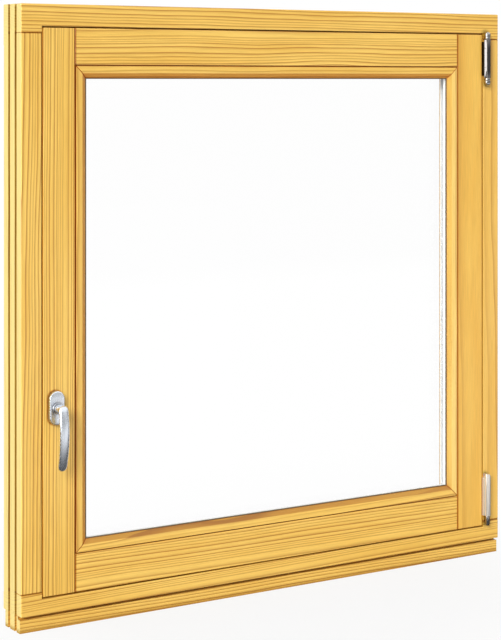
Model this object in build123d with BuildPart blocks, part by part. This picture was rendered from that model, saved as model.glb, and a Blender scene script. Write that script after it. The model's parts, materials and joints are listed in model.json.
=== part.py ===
from build123d import *

import os

# Timber tilt and turn window: outer frame, glazed sash, turning handle and surface hinges.
# Millimetres. X runs along the width, to the right as seen from the room. Y runs from the room to the
# outside, and is 0 at the middle of the frame's depth. Z is up, and is 0 under the sill profile.

# Outer frame
FRAME_WIDTH = 1000.0
FRAME_HEIGHT = 1000.0
FRAME_DEPTH = 68.0
FACE_WIDTH = 37.0  # face of the head and jambs that shows in the room
BOTTOM_FACE_WIDTH = 26.0  # the same on the bottom rail
FACE_REBATE_WIDTH = 10.0  # step in the face that takes the sash's overlap
FACE_REBATE_DEPTH = 16.0
STOP_DEPTH = 12.0  # outer lip that the sash closes against
STOP_WIDTH = 21.0  # how far that lip reaches past the rebate's wall
SIDE_GROOVE_WIDTH = 7.5
SIDE_GROOVE_DEPTH = 6.0
JOINT_BEVEL = 1.2  # V groove along each glued joint
FRAME_ROUND = 1.5
DRAIN_FLAT = 38.0  # level part of the bottom rail, from its room side
DRAIN_FALL = 8.0

# Sill profile under the bottom rail
SILL_HEIGHT = 27.0
SILL_ROOM_SETBACK = 5.0
SILL_OUTER_SETBACK = 7.0
SHADOW_GROOVE_HEIGHT = 5.0
SHADOW_GROOVE_DEPTH = 8.0
TONGUE_WIDTH = 8.6
TONGUE_HEIGHT = 5.8
TONGUE_CLEARANCE = 0.2

# Sash
SASH_GAP = 2.0  # gap round the sash's face
GASKET_THICKNESS = 2.0  # gap between the sash's back and the frame's stop
OVERLAP_WIDTH = 20.0
OVERLAP_DEPTH = 15.0
STILE_FLAT = 59.0  # face from the sash's edge to the glazing bead
TOP_RAIL_FLAT = 61.0
BOTTOM_RAIL_FLAT = 63.0
SASH_ROUND = 1.6
LIP_SETBACK = 9.0  # the outer lip's edge, behind the glazing bead's
LIP_EDGE = 3.0  # flat part of that edge, before it splays
LIP_SPLAY = 10.0
LIP_ROUND = 1.5

# Glazing
BEAD_WIDTH = 22.0
BEAD_CLEARANCE = 0.6  # gap between the bead and the rebate's wall
BEAD_QUIRK_WIDTH = 4.6
BEAD_QUIRK_DEPTH = 1.8
BEAD_CROWN = 13.6  # flat part of the bead's face, up to where it rounds over
BEAD_FACE_DROP = 9.0  # how far the rounded part falls towards the glass
GLASS_RECESS = 14.0  # from the sash's face to the glass
GLASS_EDGE_CLEARANCE = 3.0
PANE_THICKNESS = 4.0
PANE_SPACE = 12.0
SPACER_HEIGHT = 6.5
SPACER_INSET = 3.0
INNER_SEAL = 2.5
OUTER_SEAL = 3.0
SEAL_WIDTH = 9.0
SEAL_SHOWING = 1.5
SEAL_END_GAP = 0.2

# Gasket between the sash and the outer stop
GASKET_OFFSET = 21.0
GASKET_WIDTH = 7.0

# Rain rail
RAIN_PLATE = 2.0
RAIN_OVERHANG = 5.0
RAIN_LEG = 9.0
RAIN_UPRIGHT = 32.0
RAIN_CAP = 2.0

# Handle
HANDLE_INSET = 22.0  # from the sash's edge to the spindle
HANDLE_RISE = 309.0  # from the sash's lower edge to the spindle
ROSETTE_WIDTH = 27.0
ROSETTE_LENGTH = 56.0
ROSETTE_DEPTH = 9.0
ROSETTE_BEVEL = 1.4
COLLAR_RADIUS = 9.6
COLLAR_DEPTH = 3.0
NECK_RADIUS = 7.6
NECK_CLEARANCE = 0.1
NECK_SOCKET = 8.0
LEVER_LENGTH = 101.0  # from the spindle to the tip
LEVER_STANDOFF = 30.0  # from the sash's face to the grip's middle, at the spindle
LEVER_BOW = 7.2
LEVER_TIP_STANDOFF = 25.5
LEVER_WIDTH = 17.0
LEVER_THICKNESS = 11.0
LEVER_TIP_THICKNESS = 9.0
LEVER_HEAD = 7.6  # from the spindle to the grip's upper end
LEVER_HEAD_ROUND = 8.0
LEVER_TIP_ROUND = 7.0
LEVER_EDGE_BEVEL = 3.9

# Hinges: both turn about one upright axis in front of the frame's right jamb
HINGE_AXIS_OFFSET = 7.4  # from the sash's edge, out over the frame
HINGE_AXIS_PROUD = 7.0  # from the frame's face
HINGE_PIN_RADIUS = 2.5
HINGE_FOOT_WIDTH = 6.0
HINGE_RUNNING_GAP = 0.3
LEAF_THICKNESS = 1.4
LEAF_STANDOFF = 4.2
LEAF_DEPTH = 12.0  # how far it reaches into the gap beside the sash
TOP_HINGE_DROP = 33.5  # from the frame's top to the upper pin head
TOP_HINGE_LENGTH = 102.0  # over the pin's heads
TOP_KNUCKLE_LENGTH = 5.0
TOP_KNUCKLE_RADIUS = 5.2
TOP_BARREL_RADIUS = 6.0
TOP_LEAF_INSET = 4.4  # the leaf's ends, from the barrel's
PIN_HEAD_RADIUS = 5.7
PIN_HEAD_LENGTH = 9.0
PIN_HEAD_BEVEL = 2.4
BOTTOM_HINGE_RISE = 31.5  # from the frame's lower edge to the corner bearing
BEARING_LENGTH = 16.0
BEARING_RADIUS = 4.6
BEARING_FLANGE_RADIUS = 3.4
BEARING_FLANGE_LENGTH = 2.0
SASH_BARREL_LENGTH = 71.7
SASH_BARREL_RADIUS = 4.2
COVER_WALL = 1.3
COVER_CLEARANCE = 0.3
COVER_TOP = 7.0
COVER_FALL = 6.0  # how far the cover's top falls on the side away from the sash

# Places worked out from the sizes above
HALF_WIDTH = FRAME_WIDTH / 2
ROOM_FACE = -FRAME_DEPTH / 2
OUTER_FACE = FRAME_DEPTH / 2
FRAME_BOTTOM = SILL_HEIGHT
FRAME_TOP = SILL_HEIGHT + FRAME_HEIGHT
BODY_WIDTH = FACE_WIDTH + FACE_REBATE_WIDTH
BOTTOM_BODY_WIDTH = BOTTOM_FACE_WIDTH + FACE_REBATE_WIDTH
REBATE_FLOOR = ROOM_FACE + FACE_REBATE_DEPTH
STOP_FACE = OUTER_FACE - STOP_DEPTH
STOP_EDGE = BODY_WIDTH + STOP_WIDTH
DRAIN_START = ROOM_FACE + DRAIN_FLAT
LAND_WIDTH = (FRAME_DEPTH - 2 * SIDE_GROOVE_WIDTH) / 3
GROOVE_PLACES = (-(LAND_WIDTH + SIDE_GROOVE_WIDTH) / 2, (LAND_WIDTH + SIDE_GROOVE_WIDTH) / 2)

SASH_HALF_WIDTH = HALF_WIDTH - FACE_WIDTH - SASH_GAP
SASH_TOP = FRAME_TOP - FACE_WIDTH - SASH_GAP
SASH_BOTTOM = FRAME_BOTTOM + BOTTOM_FACE_WIDTH + SASH_GAP
SASH_HEIGHT = SASH_TOP - SASH_BOTTOM
SASH_BACK = STOP_FACE - GASKET_THICKNESS
OVERLAP_BACK = ROOM_FACE + OVERLAP_DEPTH
BEAD_HALF_WIDTH = SASH_HALF_WIDTH - STILE_FLAT
BEAD_TOP = SASH_TOP - TOP_RAIL_FLAT
BEAD_BOTTOM = SASH_BOTTOM + BOTTOM_RAIL_FLAT
GLASS_FACE = ROOM_FACE + GLASS_RECESS
GLASS_BACK = GLASS_FACE + 2 * PANE_THICKNESS + PANE_SPACE
LIP_FACE = GLASS_BACK + OUTER_SEAL
LIP_WIDTH = BEAD_WIDTH - LIP_SETBACK
BEAD_BACK = GLASS_FACE - INNER_SEAL
SIGHT_HALF_WIDTH = BEAD_HALF_WIDTH - BEAD_WIDTH
SIGHT_TOP = BEAD_TOP - BEAD_WIDTH
SIGHT_BOTTOM = BEAD_BOTTOM + BEAD_WIDTH
GLASS_HALF_WIDTH = BEAD_HALF_WIDTH - GLASS_EDGE_CLEARANCE
GLASS_TOP = BEAD_TOP - GLASS_EDGE_CLEARANCE
GLASS_BOTTOM = BEAD_BOTTOM + GLASS_EDGE_CLEARANCE
HANDLE_X = -SASH_HALF_WIDTH + HANDLE_INSET
HANDLE_Z = SASH_BOTTOM + HANDLE_RISE
ROSETTE_FACE = ROOM_FACE - ROSETTE_DEPTH
COLLAR_FACE = ROSETTE_FACE - COLLAR_DEPTH
HINGE_X = SASH_HALF_WIDTH + HINGE_AXIS_OFFSET
HINGE_Y = ROOM_FACE - HINGE_AXIS_PROUD
TOP_HINGE_HIGH = FRAME_TOP - TOP_HINGE_DROP
TOP_HINGE_LOW = TOP_HINGE_HIGH - TOP_HINGE_LENGTH
BOTTOM_HINGE_LOW = FRAME_BOTTOM + BOTTOM_HINGE_RISE

os.makedirs("parts", exist_ok=True)


def save(part, name):
    """Labels a finished piece and writes it to its own file."""
    part.label = name
    export_step(part, f"parts/{name}.step")


def corner_at(sketch, *places):
    """The sketch's corners that lie at the given local points."""
    points = [Vector(*place) for place in places]
    return [v for v in sketch.vertices() if any((Vector(v.X, v.Y) - point).length < 0.01 for point in points)]


def edges_at(part, along, y, z=None, x=None):
    """The part's edges that run along an axis at a given depth and height or width."""
    found = part.edges().filter_by(along).filter_by_position(Axis.Y, y - 0.01, y + 0.01)
    if z is not None:
        found = found.filter_by_position(Axis.Z, z - 0.01, z + 0.01)
    if x is not None:
        found = found.filter_by_position(Axis.X, x - 0.01, x + 0.01)
    return found


def side_grooves(length, mid_height):
    """Cuts the two grooves into the left and right ends of a member."""
    for side in (-1, 1):
        for place in GROOVE_PLACES:
            with Locations((side * (HALF_WIDTH - SIDE_GROOVE_DEPTH / 2), place, mid_height)):
                Box(SIDE_GROOVE_DEPTH, SIDE_GROOVE_WIDTH, length, mode=Mode.SUBTRACT)


# Head of the outer frame: runs the full width, over the jambs
with BuildPart() as frame_head:
    with BuildSketch(Plane((-HALF_WIDTH, 0, FRAME_TOP), x_dir=(0, 0, -1), z_dir=(1, 0, 0))) as section:
        with BuildLine():
            Polyline(
                (0, ROOM_FACE),
                (BODY_WIDTH, ROOM_FACE),
                (BODY_WIDTH, STOP_FACE),
                (STOP_EDGE, STOP_FACE),
                (STOP_EDGE, OUTER_FACE),
                (0, OUTER_FACE),
                close=True,
            )
        make_face()
        fillet(corner_at(section, (0, ROOM_FACE), (0, OUTER_FACE), (STOP_EDGE, OUTER_FACE)), FRAME_ROUND)
        for place in GROOVE_PLACES:
            with Locations((SIDE_GROOVE_DEPTH / 2, place)):
                Rectangle(SIDE_GROOVE_DEPTH, SIDE_GROOVE_WIDTH, mode=Mode.SUBTRACT)
    extrude(amount=FRAME_WIDTH)
    with Locations((0, ROOM_FACE + FACE_REBATE_DEPTH / 2, FRAME_TOP - FACE_WIDTH - FACE_REBATE_WIDTH / 2)):
        Box(FRAME_WIDTH - 2 * FACE_WIDTH, FACE_REBATE_DEPTH, FACE_REBATE_WIDTH, mode=Mode.SUBTRACT)
    side_grooves(STOP_EDGE, FRAME_TOP - STOP_EDGE / 2)
    fillet(edges_at(frame_head, Axis.X, ROOM_FACE, z=FRAME_TOP - FACE_WIDTH), FRAME_ROUND)
    for side in (-1, 1):
        fillet(edges_at(frame_head, Axis.Z, ROOM_FACE, x=side * HALF_WIDTH), FRAME_ROUND)
save(frame_head.part, "frame_head")

# Bottom rail of the outer frame: falls to the outside and takes the sill profile's tongue
with BuildPart() as frame_bottom_rail:
    with BuildSketch(Plane((HALF_WIDTH, 0, FRAME_BOTTOM), x_dir=(0, 0, 1), z_dir=(-1, 0, 0))) as section:
        with BuildLine():
            Polyline(
                (0, ROOM_FACE),
                (BOTTOM_BODY_WIDTH, ROOM_FACE),
                (BOTTOM_BODY_WIDTH, DRAIN_START),
                (BOTTOM_BODY_WIDTH - DRAIN_FALL, OUTER_FACE),
                (0, OUTER_FACE),
                close=True,
            )
        make_face()
        fillet(corner_at(section, (0, ROOM_FACE), (0, OUTER_FACE)), FRAME_ROUND)
        with Locations((0, 0)):
            Rectangle(
                2 * (TONGUE_HEIGHT + TONGUE_CLEARANCE),
                TONGUE_WIDTH + 2 * TONGUE_CLEARANCE,
                mode=Mode.SUBTRACT,
            )
    extrude(amount=FRAME_WIDTH)
    rebate_middle = FRAME_BOTTOM + BOTTOM_FACE_WIDTH + FACE_REBATE_WIDTH / 2
    with Locations((0, ROOM_FACE + FACE_REBATE_DEPTH / 2, rebate_middle)):
        Box(FRAME_WIDTH - 2 * FACE_WIDTH, FACE_REBATE_DEPTH, FACE_REBATE_WIDTH, mode=Mode.SUBTRACT)
    side_grooves(BOTTOM_BODY_WIDTH, FRAME_BOTTOM + BOTTOM_BODY_WIDTH / 2)
    fillet(edges_at(frame_bottom_rail, Axis.X, ROOM_FACE, z=FRAME_BOTTOM + BOTTOM_FACE_WIDTH), FRAME_ROUND)
    for side in (-1, 1):
        fillet(edges_at(frame_bottom_rail, Axis.Z, ROOM_FACE, x=side * HALF_WIDTH), FRAME_ROUND)
save(frame_bottom_rail.part, "frame_bottom_rail")


def frame_jamb(side):
    """A jamb of the outer frame, coped onto the bottom rail and under the head's stop."""
    low = FRAME_BOTTOM + TONGUE_HEIGHT + 4 * TONGUE_CLEARANCE
    high = FRAME_TOP - BODY_WIDTH
    foot = Plane((side * HALF_WIDTH, 0, low), x_dir=(-side, 0, 0), z_dir=(0, 0, -side))
    with BuildPart() as jamb:
        with BuildSketch(foot) as section:
            with BuildLine():
                Polyline(
                    (0, ROOM_FACE),
                    (FACE_WIDTH, ROOM_FACE),
                    (FACE_WIDTH, REBATE_FLOOR),
                    (BODY_WIDTH, REBATE_FLOOR),
                    (BODY_WIDTH, STOP_FACE),
                    (STOP_EDGE, STOP_FACE),
                    (STOP_EDGE, OUTER_FACE),
                    (0, OUTER_FACE),
                    close=True,
                )
            make_face()
            rounded = ((0, ROOM_FACE), (FACE_WIDTH, ROOM_FACE), (0, OUTER_FACE), (STOP_EDGE, OUTER_FACE))
            fillet(corner_at(section, *rounded), FRAME_ROUND)
            for place in GROOVE_PLACES:
                with Locations((SIDE_GROOVE_DEPTH / 2, place)):
                    Rectangle(SIDE_GROOVE_DEPTH, SIDE_GROOVE_WIDTH, mode=Mode.SUBTRACT)
        extrude(amount=-side * (high - low))
        add(frame_head.part, mode=Mode.SUBTRACT)
        add(frame_bottom_rail.part, mode=Mode.SUBTRACT)
        joints = [FRAME_BOTTOM + BOTTOM_BODY_WIDTH, high]
        chamfer([e for z in joints for e in edges_at(jamb, Axis.X, ROOM_FACE, z=z)], JOINT_BEVEL)
    return jamb.part


for name, side in (("frame_left_jamb", -1), ("frame_right_jamb", 1)):
    save(frame_jamb(side), name)

# Sill profile: set back from the frame's face, with a shadow groove and a tongue on top
with BuildPart() as sill_profile:
    front = ROOM_FACE + SILL_ROOM_SETBACK
    back = OUTER_FACE - SILL_OUTER_SETBACK
    with BuildSketch(Plane((-HALF_WIDTH, 0, 0), x_dir=(0, 1, 0), z_dir=(1, 0, 0))) as section:
        with BuildLine():
            Polyline(
                (front, 0),
                (back, 0),
                (back, SILL_HEIGHT),
                (TONGUE_WIDTH / 2, SILL_HEIGHT),
                (TONGUE_WIDTH / 2, SILL_HEIGHT + TONGUE_HEIGHT),
                (-TONGUE_WIDTH / 2, SILL_HEIGHT + TONGUE_HEIGHT),
                (-TONGUE_WIDTH / 2, SILL_HEIGHT),
                (front + SHADOW_GROOVE_DEPTH, SILL_HEIGHT),
                (front + SHADOW_GROOVE_DEPTH, SILL_HEIGHT - SHADOW_GROOVE_HEIGHT),
                (front, SILL_HEIGHT - SHADOW_GROOVE_HEIGHT),
                close=True,
            )
        make_face()
    extrude(amount=FRAME_WIDTH)
    side_grooves(SILL_HEIGHT + TONGUE_HEIGHT, (SILL_HEIGHT + TONGUE_HEIGHT) / 2)
save(sill_profile.part, "sill_profile")


def sash_section(plane, flat):
    """A sash member's section, from its outer edge inwards, with its glazing rebate and lip."""
    lip = flat + LIP_WIDTH
    with BuildSketch(plane) as section:
        with BuildLine():
            Polyline(
                (0, ROOM_FACE),
                (flat, ROOM_FACE),
                (flat, LIP_FACE),
                (lip, LIP_FACE),
                (lip, LIP_FACE + LIP_EDGE),
                (lip - LIP_SPLAY, SASH_BACK),
                (OVERLAP_WIDTH, SASH_BACK),
                (OVERLAP_WIDTH, OVERLAP_BACK),
                (0, OVERLAP_BACK),
                close=True,
            )
        make_face()
        fillet(corner_at(section, (0, ROOM_FACE), (flat, ROOM_FACE)), SASH_ROUND)
        fillet(corner_at(section, (lip, LIP_FACE + LIP_EDGE), (lip - LIP_SPLAY, SASH_BACK)), LIP_ROUND)
    return section.sketch


def sash_stile(side):
    """An upright of the sash: runs the full height, cut away behind the overlap at each end."""
    with BuildPart() as stile:
        edge = Plane((side * SASH_HALF_WIDTH, 0, SASH_BOTTOM), x_dir=(-side, 0, 0), z_dir=(0, 0, -side))
        extrude(sash_section(edge, STILE_FLAT), amount=-side * SASH_HEIGHT)
        body = SASH_BACK - OVERLAP_BACK
        reach = STILE_FLAT + BEAD_WIDTH
        mid_x = side * (SASH_HALF_WIDTH - reach / 2)
        for end in (SASH_BOTTOM + OVERLAP_WIDTH / 2, SASH_TOP - OVERLAP_WIDTH / 2):
            with Locations((mid_x, OVERLAP_BACK + body / 2, end)):
                Box(reach, body, OVERLAP_WIDTH, mode=Mode.SUBTRACT)
        ends = [e for z in (SASH_BOTTOM, SASH_TOP) for e in edges_at(stile, Axis.X, ROOM_FACE, z=z)]
        fillet(ends, SASH_ROUND)
    return stile.part


sash_stiles = {side: sash_stile(side) for side in (-1, 1)}
for name, side in (("sash_left_stile", -1), ("sash_right_stile", 1)):
    save(sash_stiles[side], name)


def sash_rail(flat, edge, up):
    """A rail of the sash between the stiles, coped over their lips. up is 1 where its face runs upwards."""
    with BuildPart() as rail:
        plane = Plane((up * BEAD_HALF_WIDTH, 0, edge), x_dir=(0, 0, up), z_dir=(-up, 0, 0))
        extrude(sash_section(plane, flat), amount=2 * BEAD_HALF_WIDTH)
        for stile in sash_stiles.values():
            add(stile, mode=Mode.SUBTRACT)
        for side in (-1, 1):
            chamfer(edges_at(rail, Axis.Z, ROOM_FACE, x=side * BEAD_HALF_WIDTH), JOINT_BEVEL)
    return rail.part


save(sash_rail(TOP_RAIL_FLAT, SASH_TOP, -1), "sash_top_rail")
save(sash_rail(BOTTOM_RAIL_FLAT, SASH_BOTTOM, 1), "sash_bottom_rail")


def glazing_bead(plane, length):
    """A bead with mitred ends: a quirk beside the rail, a flat crown and a round fall to the glass."""
    face = ROOM_FACE
    back = BEAD_BACK - face
    with BuildPart() as bead:
        with BuildSketch(plane.offset(-length / 2)):
            with BuildLine():
                quirk = Polyline(
                    (BEAD_CLEARANCE, face + back),
                    (BEAD_CLEARANCE, face + BEAD_QUIRK_DEPTH),
                    (BEAD_QUIRK_WIDTH, face + BEAD_QUIRK_DEPTH),
                    (BEAD_QUIRK_WIDTH + BEAD_QUIRK_DEPTH, face),
                    (BEAD_CROWN, face),
                )
                fall = EllipticalCenterArc(
                    (BEAD_CROWN, face + BEAD_FACE_DROP),
                    BEAD_WIDTH - BEAD_CROWN,
                    BEAD_FACE_DROP,
                    start_angle=270,
                    arc_size=90,
                )
                Polyline(fall @ 1, (BEAD_WIDTH, face + back), quirk @ 0)
            make_face()
        extrude(amount=length)
        for end in (-1, 1):
            corner = plane.origin + plane.z_dir * (end * length / 2)
            mitre = Plane(corner, z_dir=plane.x_dir + plane.z_dir * end)
            split(bisect_by=mitre, keep=Keep.BOTTOM)
    return bead.part


bead_middle = (BEAD_TOP + BEAD_BOTTOM) / 2
for name, side in (("bead_left", -1), ("bead_right", 1)):
    plane = Plane((side * BEAD_HALF_WIDTH, 0, bead_middle), x_dir=(-side, 0, 0), z_dir=(0, 0, -side))
    save(glazing_bead(plane, BEAD_TOP - BEAD_BOTTOM), name)
for name, height, up in (("bead_top", BEAD_TOP, -1), ("bead_bottom", BEAD_BOTTOM, 1)):
    plane = Plane((0, 0, height), x_dir=(0, 0, up), z_dir=(-up, 0, 0))
    save(glazing_bead(plane, 2 * BEAD_HALF_WIDTH), name)


def border(half_width, low, high, band, front, back):
    """Four straight strips laid round a rectangle, a hair apart at the corners."""
    middle = (low + high) / 2
    depth = back - front
    upright = high - low - 2 * band - 2 * SEAL_END_GAP
    with BuildPart() as strips:
        for z in (low + band / 2, high - band / 2):
            with Locations((0, front + depth / 2, z)):
                Box(2 * half_width, depth, band)
        for side in (-1, 1):
            with Locations((side * (half_width - band / 2), front + depth / 2, middle)):
                Box(band, depth, upright)
    return strips.part


# Glass unit and its seals
for name, front in (("inner_pane", GLASS_FACE), ("outer_pane", GLASS_BACK - PANE_THICKNESS)):
    with BuildPart() as pane:
        with Locations((0, front + PANE_THICKNESS / 2, (GLASS_TOP + GLASS_BOTTOM) / 2)):
            Box(2 * GLASS_HALF_WIDTH, PANE_THICKNESS, GLASS_TOP - GLASS_BOTTOM)
    save(pane.part, name)

spacer_bars = border(
    GLASS_HALF_WIDTH - SPACER_INSET,
    GLASS_BOTTOM + SPACER_INSET,
    GLASS_TOP - SPACER_INSET,
    SPACER_HEIGHT,
    GLASS_FACE + PANE_THICKNESS,
    GLASS_BACK - PANE_THICKNESS,
)
save(spacer_bars, "spacer_bars")

seal_reach = SEAL_WIDTH - SEAL_SHOWING
for name, front, back, reach in (
    ("inner_glazing_seal", BEAD_BACK, GLASS_FACE, seal_reach),
    ("outer_glazing_seal", GLASS_BACK, LIP_FACE, seal_reach + LIP_SETBACK),
):
    seal = border(
        SIGHT_HALF_WIDTH + reach,
        SIGHT_BOTTOM - reach,
        SIGHT_TOP + reach,
        SEAL_WIDTH,
        front,
        back,
    )
    save(seal, name)

sash_gasket = border(
    SASH_HALF_WIDTH - GASKET_OFFSET,
    SASH_BOTTOM + GASKET_OFFSET,
    SASH_TOP - GASKET_OFFSET,
    GASKET_WIDTH,
    SASH_BACK,
    STOP_FACE,
)
save(sash_gasket, "sash_gasket")

# Rain rail: an aluminium section on the bottom rail's fall, which the sash's lower edge closes against
drain_slope = DRAIN_FALL / (OUTER_FACE - DRAIN_START)


def drain_height(y):
    """Height of the bottom rail's fall at a given depth."""
    return FRAME_BOTTOM + BOTTOM_BODY_WIDTH - (y - DRAIN_START) * drain_slope


rain_half_length = HALF_WIDTH - STOP_EDGE - RAIN_CAP
rain_nose = OUTER_FACE + RAIN_OVERHANG
with BuildPart() as rain_rail:
    with BuildSketch(Plane((-rain_half_length, 0, 0), x_dir=(0, 1, 0), z_dir=(1, 0, 0))):
        with BuildLine():
            Polyline(
                (STOP_FACE, drain_height(STOP_FACE)),
                (OUTER_FACE, drain_height(OUTER_FACE)),
                (rain_nose - RAIN_PLATE, drain_height(rain_nose - RAIN_PLATE)),
                (rain_nose - RAIN_PLATE, drain_height(rain_nose) - RAIN_LEG),
                (rain_nose, drain_height(rain_nose) - RAIN_LEG),
                (rain_nose, drain_height(rain_nose) + RAIN_PLATE),
                (STOP_FACE + RAIN_PLATE, drain_height(STOP_FACE + RAIN_PLATE) + RAIN_PLATE),
                (STOP_FACE + RAIN_PLATE, drain_height(STOP_FACE) + RAIN_UPRIGHT),
                (STOP_FACE, drain_height(STOP_FACE) + RAIN_UPRIGHT),
                close=True,
            )
        make_face()
    extrude(amount=2 * rain_half_length)
save(rain_rail.part, "rain_rail")

for name, side in (("rain_rail_left_cap", -1), ("rain_rail_right_cap", 1)):
    middle = side * (rain_half_length + RAIN_CAP / 2)
    with BuildPart() as rain_cap:
        with BuildSketch(Plane((middle, 0, 0), x_dir=(0, 1, 0), z_dir=(1, 0, 0))):
            with BuildLine():
                Polyline(
                    (STOP_FACE, drain_height(STOP_FACE)),
                    (OUTER_FACE, drain_height(OUTER_FACE)),
                    (rain_nose, drain_height(rain_nose)),
                    (rain_nose, drain_height(rain_nose) + RAIN_PLATE),
                    (STOP_FACE + RAIN_PLATE, drain_height(STOP_FACE) + RAIN_UPRIGHT),
                    (STOP_FACE, drain_height(STOP_FACE) + RAIN_UPRIGHT),
                    close=True,
                )
            make_face()
        extrude(amount=RAIN_CAP / 2, both=True)
    save(rain_cap.part, name)

# Handle rosette: an oval cover with a collar and a socket for the lever's neck
with BuildPart() as handle_rosette:
    with BuildSketch(Plane((HANDLE_X, ROOM_FACE, HANDLE_Z), x_dir=(1, 0, 0), z_dir=(0, -1, 0))):
        SlotOverall(ROSETTE_LENGTH, ROSETTE_WIDTH, rotation=90)
    extrude(amount=ROSETTE_DEPTH)
    chamfer(handle_rosette.faces().sort_by(Axis.Y)[0].edges(), ROSETTE_BEVEL)
    with BuildSketch(Plane((HANDLE_X, ROSETTE_FACE, HANDLE_Z), x_dir=(1, 0, 0), z_dir=(0, -1, 0))):
        Circle(COLLAR_RADIUS)
    extrude(amount=COLLAR_DEPTH)
    with BuildSketch(Plane((HANDLE_X, COLLAR_FACE, HANDLE_Z), x_dir=(1, 0, 0), z_dir=(0, -1, 0))):
        Circle(NECK_RADIUS + NECK_CLEARANCE)
    extrude(amount=-NECK_SOCKET, mode=Mode.SUBTRACT)
save(handle_rosette.part, "handle_rosette")

# Handle lever: a neck that turns in the socket and a bowed grip that hangs down when closed
neck_end = COLLAR_FACE + NECK_SOCKET - NECK_CLEARANCE
grip_side = Plane((HANDLE_X - LEVER_WIDTH / 2, ROOM_FACE, HANDLE_Z), x_dir=(0, -1, 0), z_dir=(1, 0, 0))
half_thick, half_tip = LEVER_THICKNESS / 2, LEVER_TIP_THICKNESS / 2
mid_standoff = (LEVER_STANDOFF + LEVER_TIP_STANDOFF) / 2 + LEVER_BOW
mid_drop = (LEVER_LENGTH - LEVER_HEAD) / 2
with BuildPart() as handle_lever:
    with BuildSketch(grip_side):
        with BuildLine():
            outside = ThreePointArc(
                (LEVER_STANDOFF + half_thick, -LEVER_HEAD),
                (mid_standoff + half_thick, mid_drop),
                (LEVER_TIP_STANDOFF + half_tip, LEVER_LENGTH),
            )
            inside = ThreePointArc(
                (LEVER_TIP_STANDOFF - half_tip, LEVER_LENGTH),
                (mid_standoff - half_thick, mid_drop),
                (LEVER_STANDOFF - half_thick, -LEVER_HEAD),
            )
            Line(outside @ 1, inside @ 0)
            Line(inside @ 1, outside @ 0)
        make_face()
    extrude(amount=LEVER_WIDTH)
    ends = handle_lever.faces().sort_by(Axis.Z)
    for face, radius in ((ends[0], LEVER_TIP_ROUND), (ends[-1], LEVER_HEAD_ROUND)):
        fillet([e for e in face.edges() if abs((e % 0.5).X) < 0.01], radius)
    bows = handle_lever.faces().sort_by(Axis.Y)
    chamfer([e for face in (bows[0], bows[-1]) for e in face.edges()], LEVER_EDGE_BEVEL)
    with BuildSketch(Plane((HANDLE_X, neck_end, HANDLE_Z), x_dir=(1, 0, 0), z_dir=(0, -1, 0))):
        Circle(NECK_RADIUS)
    extrude(amount=neck_end - ROOM_FACE + LEVER_STANDOFF)
save(handle_lever.part, "handle_lever")


def on_axis(low, length, radius, mode=Mode.ADD):
    """A round bar on the hinge axis, added to the part or bored out of it."""
    with Locations((HINGE_X, HINGE_Y, low + length / 2)):
        Cylinder(radius, length, mode=mode)


def knuckle(low, length, radius):
    """A fixed knuckle on the hinge axis, with a foot down to the frame's face."""
    on_axis(low, length, radius)
    with Locations((HINGE_X, HINGE_Y + HINGE_AXIS_PROUD / 2, low + length / 2)):
        Box(HINGE_FOOT_WIDTH, HINGE_AXIS_PROUD, length)


def hinge_leaf(low, length, barrel_radius):
    """A leaf bent out of the gap beside the sash and across to the barrel, which it meets."""
    gap_middle = SASH_HALF_WIDTH + SASH_GAP / 2
    left, right = gap_middle - LEAF_THICKNESS / 2, gap_middle + LEAF_THICKNESS / 2
    front = ROOM_FACE - LEAF_STANDOFF
    with BuildPart() as leaf:
        with BuildSketch(Plane.XY.offset(low)):
            with BuildLine():
                Polyline(
                    (left, ROOM_FACE + LEAF_DEPTH),
                    (left, front),
                    (HINGE_X, front),
                    (HINGE_X, front + LEAF_THICKNESS),
                    (right, front + LEAF_THICKNESS),
                    (right, ROOM_FACE + LEAF_DEPTH),
                    close=True,
                )
            make_face()
        extrude(amount=length)
        on_axis(low, length, barrel_radius, mode=Mode.SUBTRACT)
    return leaf.part


# Top hinge: two fixed knuckles, the stay's barrel and leaf between them, and a pin with bevelled heads
knuckle_low = TOP_HINGE_LOW + PIN_HEAD_LENGTH
knuckle_high = TOP_HINGE_HIGH - PIN_HEAD_LENGTH
top_barrel_low = knuckle_low + TOP_KNUCKLE_LENGTH + HINGE_RUNNING_GAP
top_barrel_length = knuckle_high - TOP_KNUCKLE_LENGTH - HINGE_RUNNING_GAP - top_barrel_low
with BuildPart() as top_hinge_bracket:
    for low in (knuckle_low, knuckle_high - TOP_KNUCKLE_LENGTH):
        knuckle(low, TOP_KNUCKLE_LENGTH, TOP_KNUCKLE_RADIUS)
    on_axis(TOP_HINGE_LOW, TOP_HINGE_LENGTH, HINGE_PIN_RADIUS, mode=Mode.SUBTRACT)
save(top_hinge_bracket.part, "top_hinge_bracket")

with BuildPart() as top_hinge_barrel:
    on_axis(top_barrel_low, top_barrel_length, TOP_BARREL_RADIUS)
    on_axis(top_barrel_low, top_barrel_length, HINGE_PIN_RADIUS, mode=Mode.SUBTRACT)
save(top_hinge_barrel.part, "top_hinge_barrel")

save(
    hinge_leaf(top_barrel_low + TOP_LEAF_INSET, top_barrel_length - 2 * TOP_LEAF_INSET, TOP_BARREL_RADIUS),
    "top_hinge_leaf",
)

with BuildPart() as top_hinge_pin:
    on_axis(TOP_HINGE_LOW, PIN_HEAD_LENGTH, PIN_HEAD_RADIUS)
    on_axis(knuckle_high, PIN_HEAD_LENGTH, PIN_HEAD_RADIUS)
    tips = top_hinge_pin.faces().sort_by(Axis.Z)
    chamfer([e for tip in (tips[0], tips[-1]) for e in tip.edges()], PIN_HEAD_BEVEL)
    on_axis(knuckle_low, knuckle_high - knuckle_low, HINGE_PIN_RADIUS)
save(top_hinge_pin.part, "top_hinge_pin")

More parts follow.
